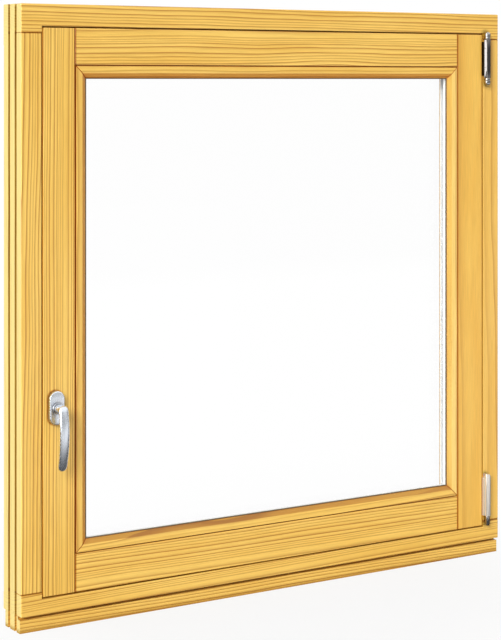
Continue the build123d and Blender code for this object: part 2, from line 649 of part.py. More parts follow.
# Bottom hinge: a corner bearing with its pivot pin, the sash's barrel and leaf over it, and a cover
sash_barrel_low = BOTTOM_HINGE_LOW + BEARING_LENGTH + HINGE_RUNNING_GAP
pin_reach = SASH_BARREL_LENGTH / 2
with BuildPart() as bottom_hinge_bearing:
    knuckle(BOTTOM_HINGE_LOW, BEARING_LENGTH, BEARING_RADIUS)
    on_axis(BOTTOM_HINGE_LOW, BEARING_LENGTH, HINGE_PIN_RADIUS, mode=Mode.SUBTRACT)
save(bottom_hinge_bearing.part, "bottom_hinge_bearing")

with BuildPart() as bottom_hinge_barrel:
    on_axis(sash_barrel_low, SASH_BARREL_LENGTH, SASH_BARREL_RADIUS)
    on_axis(sash_barrel_low, pin_reach, HINGE_PIN_RADIUS, mode=Mode.SUBTRACT)
save(bottom_hinge_barrel.part, "bottom_hinge_barrel")

save(hinge_leaf(sash_barrel_low, SASH_BARREL_LENGTH, SASH_BARREL_RADIUS), "bottom_hinge_leaf")

with BuildPart() as bottom_hinge_pin:
    on_axis(BOTTOM_HINGE_LOW, BEARING_LENGTH + HINGE_RUNNING_GAP + pin_reach, HINGE_PIN_RADIUS)
    on_axis(BOTTOM_HINGE_LOW - BEARING_FLANGE_LENGTH, BEARING_FLANGE_LENGTH, BEARING_FLANGE_RADIUS)
save(bottom_hinge_pin.part, "bottom_hinge_pin")

cover_inner = SASH_BARREL_RADIUS + COVER_CLEARANCE
cover_outer = cover_inner + COVER_WALL
cover_left = SASH_HALF_WIDTH + (SASH_GAP + LEAF_THICKNESS) / 2 + COVER_CLEARANCE
cover_back = ROOM_FACE - COVER_CLEARANCE
cavity_length = SASH_BARREL_LENGTH + COVER_CLEARANCE
cover_high = sash_barrel_low + cavity_length + COVER_TOP
slot_front = ROOM_FACE - LEAF_STANDOFF - COVER_CLEARANCE
slot_depth = LEAF_THICKNESS + 2 * COVER_CLEARANCE
with BuildPart() as bottom_hinge_cover:
    with BuildSketch(Plane.XY.offset(sash_barrel_low)):
        with Locations((HINGE_X, HINGE_Y)):
            Circle(cover_outer)
        with Locations(((cover_left + HINGE_X) / 2, (slot_front - COVER_WALL + cover_back) / 2)):
            Rectangle(HINGE_X - cover_left, cover_back - slot_front + COVER_WALL)
        make_hull()
    extrude(amount=cavity_length + COVER_TOP)
    with BuildSketch(Plane.XZ.offset(-cover_back)):
        with BuildLine():
            Polyline(
                (HINGE_X, cover_high),
                (HINGE_X + cover_outer, cover_high - COVER_FALL),
                (HINGE_X + cover_outer, cover_high),
                close=True,
            )
        make_face()
    extrude(amount=cover_back - HINGE_Y + cover_outer, mode=Mode.SUBTRACT)
    on_axis(sash_barrel_low, cavity_length, cover_inner, mode=Mode.SUBTRACT)
    slot_middle = slot_front + slot_depth / 2
    with Locations((HINGE_X - cover_outer / 2, slot_middle, sash_barrel_low + cavity_length / 2)):
        Box(cover_outer, slot_depth, cavity_length, mode=Mode.SUBTRACT)
save(bottom_hinge_cover.part, "bottom_hinge_cover")
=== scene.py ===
"""Pine tilt and turn window: lacquered timber, double glazing, a satin handle and plated hinges.

Metres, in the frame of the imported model: X to the right as seen from the room, Y to the outside, Z up.
Sizes in the classes below are in millimetres, and the studio's are in metres.
"""

from __future__ import annotations

import json
import logging
import math
from collections.abc import Callable, Iterator
from contextlib import contextmanager
from dataclasses import dataclass, field
from enum import Enum
from functools import partial

import bmesh
import bpy
from mathutils import Euler, Matrix, Vector

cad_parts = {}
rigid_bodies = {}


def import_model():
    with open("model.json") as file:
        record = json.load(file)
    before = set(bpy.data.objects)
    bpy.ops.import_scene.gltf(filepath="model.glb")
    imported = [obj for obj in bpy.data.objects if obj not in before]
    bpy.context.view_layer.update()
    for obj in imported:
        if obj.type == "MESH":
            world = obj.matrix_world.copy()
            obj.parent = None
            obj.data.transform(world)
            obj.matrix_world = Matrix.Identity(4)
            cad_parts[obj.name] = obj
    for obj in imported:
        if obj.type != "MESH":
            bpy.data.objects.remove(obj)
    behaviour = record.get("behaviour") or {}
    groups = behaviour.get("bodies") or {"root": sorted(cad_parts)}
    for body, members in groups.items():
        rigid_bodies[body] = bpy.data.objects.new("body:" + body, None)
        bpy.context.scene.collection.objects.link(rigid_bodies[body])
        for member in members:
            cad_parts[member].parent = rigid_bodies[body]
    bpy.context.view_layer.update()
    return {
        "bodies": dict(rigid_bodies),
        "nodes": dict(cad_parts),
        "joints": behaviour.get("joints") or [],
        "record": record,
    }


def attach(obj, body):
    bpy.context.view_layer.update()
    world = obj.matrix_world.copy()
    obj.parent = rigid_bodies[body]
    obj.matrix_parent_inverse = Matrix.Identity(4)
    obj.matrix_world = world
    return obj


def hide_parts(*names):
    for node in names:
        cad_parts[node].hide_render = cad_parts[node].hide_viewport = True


MM = 0.001
WINDOW = "window"
HANDLE = "handle"
LOG = logging.getLogger("window")
# A Mix node set to colours keeps them after its float and vector sockets
MIX_A, MIX_B, MIX_RESULT = 6, 7, 2

Colour = tuple[float, float, float, float]
Triple = tuple[float, float, float]
Stations = list[tuple[float, float]]
Source = bpy.types.Node | bpy.types.NodeSocket
AddNode = Callable[..., bpy.types.Node]

WHITE: Colour = (1.0, 1.0, 1.0, 1.0)
BLACK: Colour = (0.0, 0.0, 0.0, 1.0)

# An element counts as near a place within the first distance, and as on it within the second
NEAR = 0.1
TOUCHING = 0.01


def linear(code: str) -> Colour:
    """Turns an sRGB hex code into a linear colour.

    Args:
        code: six hex digits, such as "F2C66B".

    Returns:
        The linear red, green and blue, with an alpha of 1.
    """
    parts = [int(code[i : i + 2], 16) / 255 for i in (0, 2, 4)]
    red, green, blue = (c / 12.92 if c <= 0.04045 else ((c + 0.055) / 1.055) ** 2.4 for c in parts)
    return red, green, blue, 1.0


def add_node(
    tree: bpy.types.NodeTree,
    kind: str,
    inputs: dict[int | str, object] | None = None,
    stops: list[tuple[float, Colour]] | None = None,
    **settings: object,
) -> bpy.types.Node:
    """Adds one node to a tree, with its settings, values and links.

    Args:
        tree: the tree that the node goes into.
        kind: the node's type name, without the ShaderNode that it starts with.
        inputs: for each named or numbered input a value, an output, or a node whose first output it takes.
        stops: the places and colours of a colour ramp.
        settings: the node's own properties.

    Returns:
        The new node.
    """
    node = tree.nodes.new(f"ShaderNode{kind}")
    for name, value in settings.items():
        setattr(node, name, value)
    for key, value in (inputs or {}).items():
        source = value.outputs[0] if isinstance(value, bpy.types.Node) else value
        if isinstance(source, bpy.types.NodeSocket):
            tree.links.new(source, node.inputs[key])
        else:
            node.inputs[key].default_value = source
    if stops:
        ramp = node.color_ramp.elements
        while len(ramp) < len(stops):
            ramp.new(0.5)
        for element, (place, colour) in zip(ramp, stops):
            element.position = place
            element.color = colour
    return node


def new_material(name: str) -> tuple[bpy.types.Material, AddNode]:
    """Makes an empty node material.

    Args:
        name: the material's name.

    Returns:
        The material, and add_node for its tree.
    """
    material = bpy.data.materials.new(name)
    material.use_nodes = True
    material.node_tree.nodes.clear()
    return material, partial(add_node, material.node_tree)


class Part(Enum):
    """The kinds of element that edit mode selects."""

    VERTS = "VERT"
    EDGES = "EDGE"
    FACES = "FACE"


def pick(piece: bpy.types.Object) -> None:
    """Selects one piece alone and makes it the active one.

    Args:
        piece: the piece.
    """
    bpy.ops.object.select_all(action="DESELECT")
    bpy.context.view_layer.objects.active = piece
    piece.select_set(True)


def begin(name: str, primitive: Callable[..., set[str]], **shape: object) -> bpy.types.Object:
    """Adds a primitive as the start of a piece, with its place in its mesh.

    Args:
        name: the piece's name.
        primitive: the operator that adds the primitive.
        shape: the operator's sizes and place, in metres.

    Returns:
        The new object, which is the active one.
    """
    bpy.ops.object.select_all(action="DESELECT")
    primitive(**shape)
    piece = bpy.context.object
    piece.name = piece.data.name = name
    bpy.ops.object.transform_apply(location=True, rotation=True, scale=True)
    return piece


def block(name: str, low: Triple, high: Triple) -> bpy.types.Object:
    """Adds a rectangular block between two corners, in millimetres.

    Args:
        name: the piece's name.
        low: the corner with the lowest coordinates.
        high: the corner with the highest.

    Returns:
        The block.
    """
    middle = [(a + b) / 2 * MM for a, b in zip(low, high)]
    size = [(b - a) * MM for a, b in zip(low, high)]
    return begin(name, bpy.ops.mesh.primitive_cube_add, size=1.0, location=middle, scale=size)


@contextmanager
def shaping(piece: bpy.types.Object) -> Iterator[None]:
    """Opens a piece in edit mode with nothing selected, and leaves it with its faces turned outwards.

    Args:
        piece: the piece.

    Yields:
        Nothing: the operators act on the open piece.
    """
    pick(piece)
    bpy.ops.object.mode_set(mode="EDIT")
    bpy.ops.mesh.select_all(action="DESELECT")
    yield
    bpy.ops.mesh.select_all(action="SELECT")
    bpy.ops.mesh.normals_make_consistent(inside=False)
    bpy.ops.object.mode_set(mode="OBJECT")


def choose(piece: bpy.types.Object, part: Part, test: Callable[[Vector], bool]) -> None:
    """Selects the elements, in edit mode, whose middle passes a test.

    Args:
        piece: the piece that is open in edit mode.
        part: vertices, edges or faces.
        test: says yes to the middles of the wanted ones, in millimetres.
    """
    bpy.ops.mesh.select_mode(type=part.value)
    bpy.ops.mesh.select_all(action="DESELECT")
    mesh = bmesh.from_edit_mesh(piece.data)
    if part is Part.VERTS:
        middles = {vert: vert.co for vert in mesh.verts}
    elif part is Part.EDGES:
        middles = {edge: (edge.verts[0].co + edge.verts[1].co) / 2 for edge in mesh.edges}
    else:
        middles = {face: face.calc_center_median() for face in mesh.faces}
    for element, middle in middles.items():
        if test(middle / MM):
            element.select_set(True)
    bmesh.update_edit_mesh(piece.data)


def ease(width: float, segments: int = 1) -> None:
    """Bevels what is selected in edit mode, by a width in millimetres."""
    bpy.ops.mesh.bevel(offset=width * MM, segments=segments, profile=0.5, affect="EDGES")


def trim(place: Triple, normal: Triple) -> None:
    """Cuts the open piece by a plane, takes away what lies on the normal's side and closes the cut.

    Args:
        place: a point of the plane, in millimetres.
        normal: the plane's normal, of any length.
    """
    bpy.ops.mesh.select_all(action="SELECT")
    plane = {"plane_co": [c * MM for c in place], "plane_no": Vector(normal).normalized()}
    bpy.ops.mesh.bisect(clear_outer=True, use_fill=True, **plane)


def apply_modifier(piece: bpy.types.Object, kind: str, **settings: object) -> None:
    """Adds a modifier with its settings and applies it.

    Args:
        piece: the piece.
        kind: the modifier's type.
        settings: the modifier's properties.
    """
    pick(piece)
    modifier = piece.modifiers.new(kind.lower(), kind)
    for name, value in settings.items():
        setattr(modifier, name, value)
    bpy.ops.object.modifier_apply(modifier=modifier.name)


def combine(piece: bpy.types.Object, tool: bpy.types.Object, operation: str) -> None:
    """Joins a second solid to a piece, or cuts it away, and removes it.

    Args:
        piece: the piece that stays.
        tool: the solid that is used up.
        operation: UNION or DIFFERENCE.
    """
    apply_modifier(piece, "BOOLEAN", operation=operation, solver="EXACT", object=tool)
    bpy.data.objects.remove(tool)


def complete(
    piece: bpy.types.Object,
    material: bpy.types.Material,
    body: str,
    replaced: str,
    sharp: float = 30.0,
) -> None:
    """Dresses a finished piece and hands it to the frame.

    Args:
        piece: the finished piece.
        material: its finish.
        body: the body that it rides on.
        replaced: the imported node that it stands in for.
        sharp: edges that turn by more than this many degrees stay sharp.
    """
    pick(piece)
    bpy.ops.object.shade_smooth_by_angle(angle=math.radians(sharp))
    piece.data.materials.clear()
    piece.data.materials.append(material)
    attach(piece, body)
    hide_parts(replaced)
    LOG.info("%s: %d faces", piece.name, len(piece.data.polygons))


def dress(frame: dict, material: bpy.types.Material, *nodes: str) -> None:
    """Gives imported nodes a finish.

    Args:
        material: the finish.
        nodes: the nodes' names.
    """
    for name in nodes:
        slots = frame["nodes"][name].data.materials
        slots.clear()
        slots.append(material)
        LOG.info("%s: %s", name, material.name)


def turned(name: str, axis: tuple[float, float], outline: Stations) -> bpy.types.Object:
    """Turns a solid bar on an upright axis, as on a lathe.

    Args:
        name: the piece's name.
        axis: where the axis stands, in X and Y.
        outline: height and radius of each station, from the lowest up, in millimetres.

    Returns:
        The bar.
    """
    x, y = axis[0] * MM, axis[1] * MM
    low, radius = outline[0]
    bar = begin(
        name,
        bpy.ops.mesh.primitive_circle_add,
        vertices=48,
        radius=radius * MM,
        fill_type="NGON",
        location=(x, y, low * MM),
    )
    with shaping(bar):
        bpy.ops.mesh.select_all(action="SELECT")
        for (z_from, from_radius), (z_to, to_radius) in zip(outline, outline[1:]):
            bpy.ops.mesh.extrude_region_move(TRANSFORM_OT_translate={"value": (0, 0, (z_to - z_from) * MM)})
            ratio = to_radius / from_radius
            bpy.ops.transform.resize(value=(ratio, ratio, 1), center_override=(x, y, z_to * MM))
    return bar


def bar_outline(
    low: float, high: float, radius: float, rounding: float, steps: int = 3, between: Stations | None = None
) -> Stations:
    """Works out the stations of an upright bar with rounded ends.

    Args:
        low: height of its lower tip, in millimetres.
        high: height of its upper tip.
        radius: its radius.
        rounding: how far the rounding goes, along the bar and inwards.
        steps: the number of stations of each end, less one.
        between: height and radius of further stations between the ends.

    Returns:
        Height and radius of each station.
    """
    turns = [math.pi / 2 * step / steps for step in range(steps + 1)]
    rises = [rounding * (1 - math.cos(turn)) for turn in turns]
    radii = [radius - rounding * (1 - math.sin(turn)) for turn in turns]
    bottom = [(low + rise, r) for rise, r in zip(rises, radii)]
    top = [(high - rise, r) for rise, r in zip(rises, radii)]
    return [*bottom, *(between or []), *reversed(top)]


class Grain(Enum):
    """The way that a board's fibres run."""

    ALONG_X = "rail"
    ALONG_Z = "stile"


@dataclass(frozen=True)
class CornerShade:
    """Painted shade: a darker tint in joints, recesses and inner corners, where less light reaches.

    Attributes:
        deep: sRGB tint of the painted shade at the bottom of a joint.
        corner: sRGB tint of the painted shade in an inner corner.
        open: share of free sky above which there is no tint.
        reach: how far the painted shade reaches out from a joint or corner.
    """

    deep: str = "E8BC6C"
    corner: str = "CDA264"
    open: float = 0.88
    reach: float = 5.0


@dataclass(frozen=True)
class JointLine:
    """A dark line of lacquer along a board's joint, on its faces towards the room.

    Attributes:
        axis: the axis that the line is measured on, X or Z.
        middle: where its distances are counted from.
        start: distance from the middle at which the darkening starts.
        end: distance at which it is full.
        tint: sRGB tint of the line.
    """

    axis: str
    middle: float
    start: float
    end: float
    tint: str = "C29C4C"

    def share(self, add: AddNode, place: bpy.types.Node, normal: bpy.types.Node) -> bpy.types.Node:
        """Works out how much of the line there is at each point of the board.

        Args:
            add: adds a node to the board's material.
            place: the point's coordinates, taken apart.
            normal: its normal, taken apart.

        Returns:
            The node with the share.
        """
        along = add("Math", {0: place.outputs[self.axis], 1: self.middle * MM}, operation="SUBTRACT")
        distance = add("Math", {0: along}, operation="ABSOLUTE")
        facing = add("MapRange", {"Value": normal.outputs["Y"], "From Min": -0.3, "From Max": -0.6})
        reach = {"From Min": self.start * MM, "From Max": self.end * MM}
        return add("MapRange", {"Value": distance, "To Max": facing, **reach})


# The boards' joints, on the frame and on the sash
HEAD_JOINT = JointLine("Z", 0.0, 981.4, 980.2)
BOTTOM_RAIL_JOINT = JointLine("Z", 0.0, 61.6, 62.8)
JAMB_JOINTS = JointLine("Z", 521.5, 455.9, 457.1)
STILE_JOINT = JointLine("X", 0.0, 404.6, 403.2)
RAIL_JOINTS = JointLine("X", 0.0, 399.2, 400.6)


@dataclass(frozen=True)
class LacqueredPine:
    """Planed pine under two coats of clear satin lacquer.

    Growth rings are cylinders round the tree's pith, so faces show long lines, cathedrals or plain streaks,
    and ends show arcs, all from one solid pattern. The dark latewood swells slowly and ends sharply.

    Attributes:
        grain: the way that the fibres run.
        centre: the board's centre, across the face and up.
        pith: from the board's centre to the pith, across the face and into the depth.
        lean: how far the board leans off the pith's line, within the face and through it, in degrees.
        ring: width of one year's growth.
        wander: how far the rings stray sideways.
        contrast: strength of the dark latewood, from 0 to 1.
        early: sRGB colour of the pale earlywood.
        middle: sRGB colour of its darker patches.
        late: sRGB colour of the latewood.
        pale: sRGB colour of the painted light on the side faces of the window's outer edges.
        side_light_from: distance from the window's middle at which that painted light starts.
        corner_shade: the painted shade in its joints and inner corners.
        slope: sRGB tint of painted shade on faces that turn away from the room.
        joint: the dark line along the board's joint, if it has one.
    """

    grain: Grain
    centre: tuple[float, float]
    pith: tuple[float, float]
    lean: tuple[float, float] = (0.0, 0.0)
    ring: float = 5.0
    wander: float = 3.0
    contrast: float = 1.0
    early: str = "F5CB66"
    middle: str = "ECBD56"
    late: str = "A25E10"
    pale: str = "E6D38A"
    side_light_from: float = 493.0
    corner_shade: CornerShade = CornerShade()
    slope: str = "FFFFFF"
    joint: JointLine | None = None

    def _mapping(self) -> tuple[Vector, Euler]:
        """Works out the pattern's own frame, whose Z lies on the pith.

        Returns:
            Its place in metres, and its turn.
        """
        base = Matrix.Rotation(math.pi / 2, 3, "Y") if self.grain is Grain.ALONG_X else Matrix.Identity(3)
        across = base @ Vector((1, 0, 0))
        lean_in_face = Matrix.Rotation(math.radians(self.lean[0]), 3, "Y")
        lean_through = Matrix.Rotation(math.radians(self.lean[1]), 3, "X")
        centre = Vector((self.centre[0], 0, self.centre[1]))
        place = centre + across * self.pith[0] + Vector((0, self.pith[1], 0))
        return place * MM, (base @ lean_in_face @ lean_through).to_euler("XYZ")

    def _streaks(
        self, add: AddNode, board: Source, width: float, length: float, detail: float = 1.0
    ) -> bpy.types.Node:
        """Draws uneven streaks along the fibres.

        Args:
            add: adds a node to the material.
            board: the point on the board, in the pattern's own frame.
            width: about how wide a streak is.
            length: about how long it is.
            detail: how many finer sizes it has on it.

        Returns:
            The node with the streaks' strength.
        """
        space = add("VectorMath", {0: board, 1: (1 / width, 1 / width, 1 / length)}, operation="MULTIPLY")
        return add("TexNoise", {"Vector": space, "Scale": 1.0, "Detail": detail})

    def _latewood(self, add: AddNode, board: Source) -> bpy.types.Node:
        """Draws the dark latewood of the growth rings.

        Args:
            add: adds a node to the material.
            board: the point on the board, in the pattern's own frame.

        Returns:
            The node with the latewood's strength.
        """
        across = add("VectorMath", {0: board, 1: (1, 1, 0)}, operation="MULTIPLY")
        radius: Source = add("VectorMath", {0: across}, operation="LENGTH").outputs["Value"]
        # Rings stray over about 90 mm across and 400 mm along the board, and again on a finer scale
        for width, length, wander in ((90, 400, 4 * self.wander), (22, 130, self.wander)):
            stray = self._streaks(add, board, width, length)
            radius = add("Math", {0: stray, 1: wander, 2: radius}, operation="MULTIPLY_ADD")
        # Good and poor years: the rings' widths vary slowly with the radius
        cycle = {"W": radius, "Scale": 1 / (5 * self.ring), "Detail": 1.0}
        years = add("TexNoise", cycle, noise_dimensions="1D")
        uneven = add("Math", {0: years, 1: 3.2 * self.ring, 2: radius}, operation="MULTIPLY_ADD")
        age = add("Math", {0: uneven, 1: self.ring}, operation="DIVIDE")
        season = add("Math", {0: age}, operation="FRACT")
        year = add("Math", {0: age}, operation="FLOOR")
        own = add("TexWhiteNoise", {"W": year}, noise_dimensions="1D").outputs["Value"]
        # Through one year: plain earlywood, a slow swell, full latewood and its sharp end
        swell = (0.35, 0.35, 0.35, 1.0)
        seasons = [(0.0, BLACK), (0.35, BLACK), (0.68, swell), (0.88, WHITE), (0.96, WHITE), (1.0, BLACK)]
        darkness = add("ValToRGB", {0: season}, stops=seasons)
        strength = add("MapRange", {"Value": own, "To Min": 0.45 * self.contrast, "To Max": self.contrast})
        return add("Math", {0: darkness, 1: strength}, operation="MULTIPLY")

    def _tinted(self, add: AddNode, where: Source, timber: bpy.types.Node) -> bpy.types.NodeSocket:
        """Tints the bare timber with painted light and shade, and with its dark joint lines.

        Args:
            add: adds a node to the material.
            where: the point's coordinates, in metres.
            timber: the timber's colour.

        Returns:
            The colour of the board.
        """
        place = add("SeparateXYZ", {0: where})
        normal = add("SeparateXYZ", {0: add("NewGeometry").outputs["Normal"]})
        # Painted light: the side faces on the window's outer edges are painted paler, as if lit from the side
        outwards = add("Math", {0: place.outputs["X"]}, operation="ABSOLUTE")
        edgewise = add("Math", {0: normal.outputs["X"]}, operation="ABSOLUTE")
        border = {"From Min": self.side_light_from * MM, "From Max": (self.side_light_from + 2) * MM}
        outer = add("MapRange", {"Value": outwards, "To Max": 0.8, **border})
        side_light_share = add("MapRange", {"Value": edgewise, "From Min": 0.75, "From Max": 0.95, "To Max": outer})
        edged = add("Mix", {0: side_light_share, MIX_A: timber, MIX_B: linear(self.pale)}, data_type="RGBA")
        # Painted shade: joints and inner corners are darkened by how little of the sky they see
        sky = add("AmbientOcclusion", {"Distance": self.corner_shade.reach * MM}, samples=8).outputs["AO"]
        deep, corner = linear(self.corner_shade.deep), linear(self.corner_shade.corner)
        shade = add("ValToRGB", {0: sky}, stops=[(0.25, deep), (0.62, corner), (self.corner_shade.open, WHITE)])
        # Painted shade: faces that turn away from the room are tinted darker and warmer
        slope_shade_share = add("MapRange", {"Value": normal.outputs["Y"], "From Min": -0.97, "From Max": -0.87})
        tints: list[tuple[object, object]] = [(1.0, shade), (slope_shade_share, linear(self.slope))]
        if self.joint:
            tints.append((self.joint.share(add, place, normal), linear(self.joint.tint)))
        colour = edged.outputs[MIX_RESULT]
        for share, tint in tints:
            layer = {0: share, MIX_A: colour, MIX_B: tint}
            colour = add("Mix", layer, data_type="RGBA", blend_type="MULTIPLY").outputs[MIX_RESULT]
        return colour

    def material(self, name: str) -> bpy.types.Material:
        """Builds the finish.

        Args:
            name: the material's name.

        Returns:
            The material.
        """
        material, add = new_material(name)
        where = add("TexCoord").outputs["Object"]
        place, turn = self._mapping()
        to_board = {"Vector": where, "Location": place, "Rotation": turn, "Scale": (MM, MM, MM)}
        board = add("Mapping", to_board, vector_type="TEXTURE")
        latewood = self._latewood(add, board)
        # Fibres are drawn about a millimetre wide, coarser than the real ones, so that they show
        fibres = self._streaks(add, board, 0.9, 45, 3.0)
        patches = self._streaks(add, board, 28, 260, 2.0)
        ground = add("ValToRGB", {0: patches}, stops=[(0.3, linear(self.early)), (0.7, linear(self.middle))])
        ringed = add("Mix", {0: latewood, MIX_A: ground, MIX_B: linear(self.late)}, data_type="RGBA")
        spread = {"From Min": 0.3, "From Max": 0.7, "To Min": 0.9, "To Max": 1.07}
        tone = add("MapRange", {"Value": fibres, **spread})
        timber = add("VectorMath", {0: ringed.outputs[MIX_RESULT], "Scale": tone}, operation="SCALE")
        relief = add("Math", {0: latewood, 1: 0.6, 2: fibres}, operation="MULTIPLY_ADD")
        shader = add(
            "BsdfPrincipled",
            {
                "Base Color": self._tinted(add, where, timber),
                "Roughness": add("MapRange", {"Value": fibres, "To Min": 0.3, "To Max": 0.44}),
                "IOR": 1.5,
                "Coat Weight": 0.25,
                "Coat Roughness": 0.22,
                "Normal": add("Bump", {"Height": relief, "Strength": 0.35, "Distance": 0.08 * MM}),
            },
        )
        add("OutputMaterial", {"Surface": shader})
        return material


# Pine with grooves in its outer edges, with painted shade deep in the grooves, and the beads' pine, with
# stronger painted shade in its joints and near the glass
GroovedPine = partial(LacqueredPine, corner_shade=CornerShade("ECD49C", "98996E", 0.96, 9.0))
BeadPine = partial(LacqueredPine, corner_shade=CornerShade("C8943C", "D28A28", 0.97, 12.0))


@dataclass(frozen=True)
class SatinMetal:
    """A metal with a fine, even surface: brushed and anodised, plated or drawn, or a metallic paint.

    Attributes:
        tone: sRGB colour of the metal.
        roughness: the middle of its roughness.
        spread: how far the roughness varies.
        stroke: size of the brushing or rolling marks, along X, Y and Z.
        relief: height of those marks.
        metallic: share of metal in the finish, below 1 for a metallic paint.
        corner_shade: how far the painted shade of an inner corner reaches, or 0 for none.
        shade_tone: sRGB colour of the painted shade in an inner corner.
    """

    tone: str
    roughness: float
    spread: float = 0.04
    stroke: Triple = (1.0, 1.0, 1.0)
    relief: float = 0.01
    metallic: float = 1.0
    corner_shade: float = 0.0
    shade_tone: str = "6C6462"

    def material(self, name: str) -> bpy.types.Material:
        """Builds the finish.

        Args:
            name: the material's name.

        Returns:
            The material.
        """
        material, add = new_material(name)
        where = add("TexCoord").outputs["Object"]
        scale = tuple(1 / (size * MM) for size in self.stroke)
        space = add("VectorMath", {0: where, 1: scale}, operation="MULTIPLY")
        marks = add("TexNoise", {"Vector": space, "Scale": 1.0, "Detail": 3.0})
        limits = {"To Min": self.roughness - self.spread, "To Max": self.roughness + self.spread}
        colour: object = linear(self.tone)
        if self.corner_shade:
            # Painted shade: the metal is darkened in its inner corners by how little of the sky they see
            sky = add("AmbientOcclusion", {"Distance": self.corner_shade * MM}, samples=8).outputs["AO"]
            tones = [(0.42, linear(self.shade_tone)), (0.93, linear(self.tone))]
            colour = add("ValToRGB", {0: sky}, stops=tones)
        shader = add(
            "BsdfPrincipled",
            {
                "Base Color": colour,
                "Metallic": self.metallic,
                "Roughness": add("MapRange", {"Value": marks, **limits}),
                "Normal": add("Bump", {"Height": marks, "Strength": 0.3, "Distance": self.relief * MM}),
            },
        )
        add("OutputMaterial", {"Surface": shader})
        return material


@dataclass(frozen=True)
class SoftRubber:
    """Extruded seal rubber or sealant: matt, with a faint bloom.

    Attributes:
        tone: sRGB colour.
        bloom: sRGB colour of the paler patches.
        lip: sRGB colour of a front lip, painted dark as shade along the sight edges, or empty for none.
        lip_back: how deep the lip reaches along Y.
    """

    tone: str
    bloom: str
    lip: str = ""
    lip_back: float = 0.0

    def material(self, name: str) -> bpy.types.Material:
        """Builds the finish.

        Args:
            name: the material's name.

        Returns:
            The material.
        """
        material, add = new_material(name)
        where = add("TexCoord").outputs["Object"]
        patches = add("TexNoise", {"Vector": where, "Scale": 60.0, "Detail": 4.0})
        tones = [(0.35, linear(self.tone)), (0.75, linear(self.bloom))]
        colour: Source = add("ValToRGB", {0: patches}, stops=tones)
        if self.lip:
            # Painted shade: the lip's front is darker, standing in for the shade along the beads' sight edges
            depth = add("SeparateXYZ", {0: where}).outputs["Y"]
            front = add("Math", {0: depth, 1: self.lip_back * MM}, operation="LESS_THAN")
            shaded_lip = add("Mix", {0: front, MIX_A: colour, MIX_B: linear(self.lip)}, data_type="RGBA")
            colour = shaded_lip.outputs[MIX_RESULT]
        bump = add("Bump", {"Height": patches, "Strength": 0.2, "Distance": 0.05 * MM})
        look = {"Base Color": colour, "Roughness": 0.62, "IOR": 1.5, "Normal": bump}
        add("OutputMaterial", {"Surface": add("BsdfPrincipled", look)})
        return material


@dataclass(frozen=True)
class FloatGlass:
    """Clear float glass: colourless and almost dead flat.

    Attributes:
        tint: sRGB colour of the glass.
        ior: its index, below that of real glass because the photograph's panes mirror so little.
    """

    tint: str = "FFFFFF"
    ior: float = 1.25

    def material(self, name: str) -> bpy.types.Material:
        """Builds the finish.

        Args:
            name: the material's name.

        Returns:
            The material.
        """
        material, add = new_material(name)
        where = add("TexCoord").outputs["Object"]
        # Roller wave: a swell of a few microns over 200 mm, which only a low reflection shows
        wave = add("TexNoise", {"Vector": where, "Scale": 5.0, "Detail": 0.0})
        shader = add(
            "BsdfPrincipled",
            {
                "Base Color": linear(self.tint),
                "Roughness": 0.0,
                "IOR": self.ior,
                "Transmission Weight": 1.0,
                "Normal": add("Bump", {"Height": wave, "Strength": 0.1, "Distance": 0.02 * MM}),
            },
        )
        # Lamp light passes straight through, so that what lies between and behind the panes is lit
        path = add("LightPath").outputs
        lighting = add("Math", {0: path["Is Shadow Ray"], 1: path["Is Diffuse Ray"]}, operation="MAXIMUM")
        clear = add("BsdfTransparent", {"Color": WHITE})
        add("OutputMaterial", {"Surface": add("MixShader", {0: lighting, 1: shader, 2: clear})})
        return material


@dataclass(frozen=True)
class MouldedPlastic:
    """Injection-moulded cap: even colour with a fine spark-eroded grain.

    Attributes:
        tone: sRGB colour.
        roughness: how matt it is.
        spread: how far the roughness varies.
        grit: size of the grain.
    """

    tone: str
    roughness: float
    spread: float = 0.05
    grit: float = 0.4

    def material(self, name: str) -> bpy.types.Material:
        """Builds the finish.

        Args:
            name: the material's name.

        Returns:
            The material.
        """
        material, add = new_material(name)
        where = add("TexCoord").outputs["Object"]
        grit = add("TexNoise", {"Vector": where, "Scale": 1 / (self.grit * MM), "Detail": 2.0})
        limits = {"To Min": self.roughness - self.spread, "To Max": self.roughness + self.spread}
        rough = add("MapRange", {"Value": grit, **limits})
        bump = add("Bump", {"Height": grit, "Strength": 0.25, "Distance": 0.02 * MM})
        look = {"Base Color": linear(self.tone), "Roughness": rough, "IOR": 1.5, "Normal": bump}
        add("OutputMaterial", {"Surface": add("BsdfPrincipled", look)})
        return material


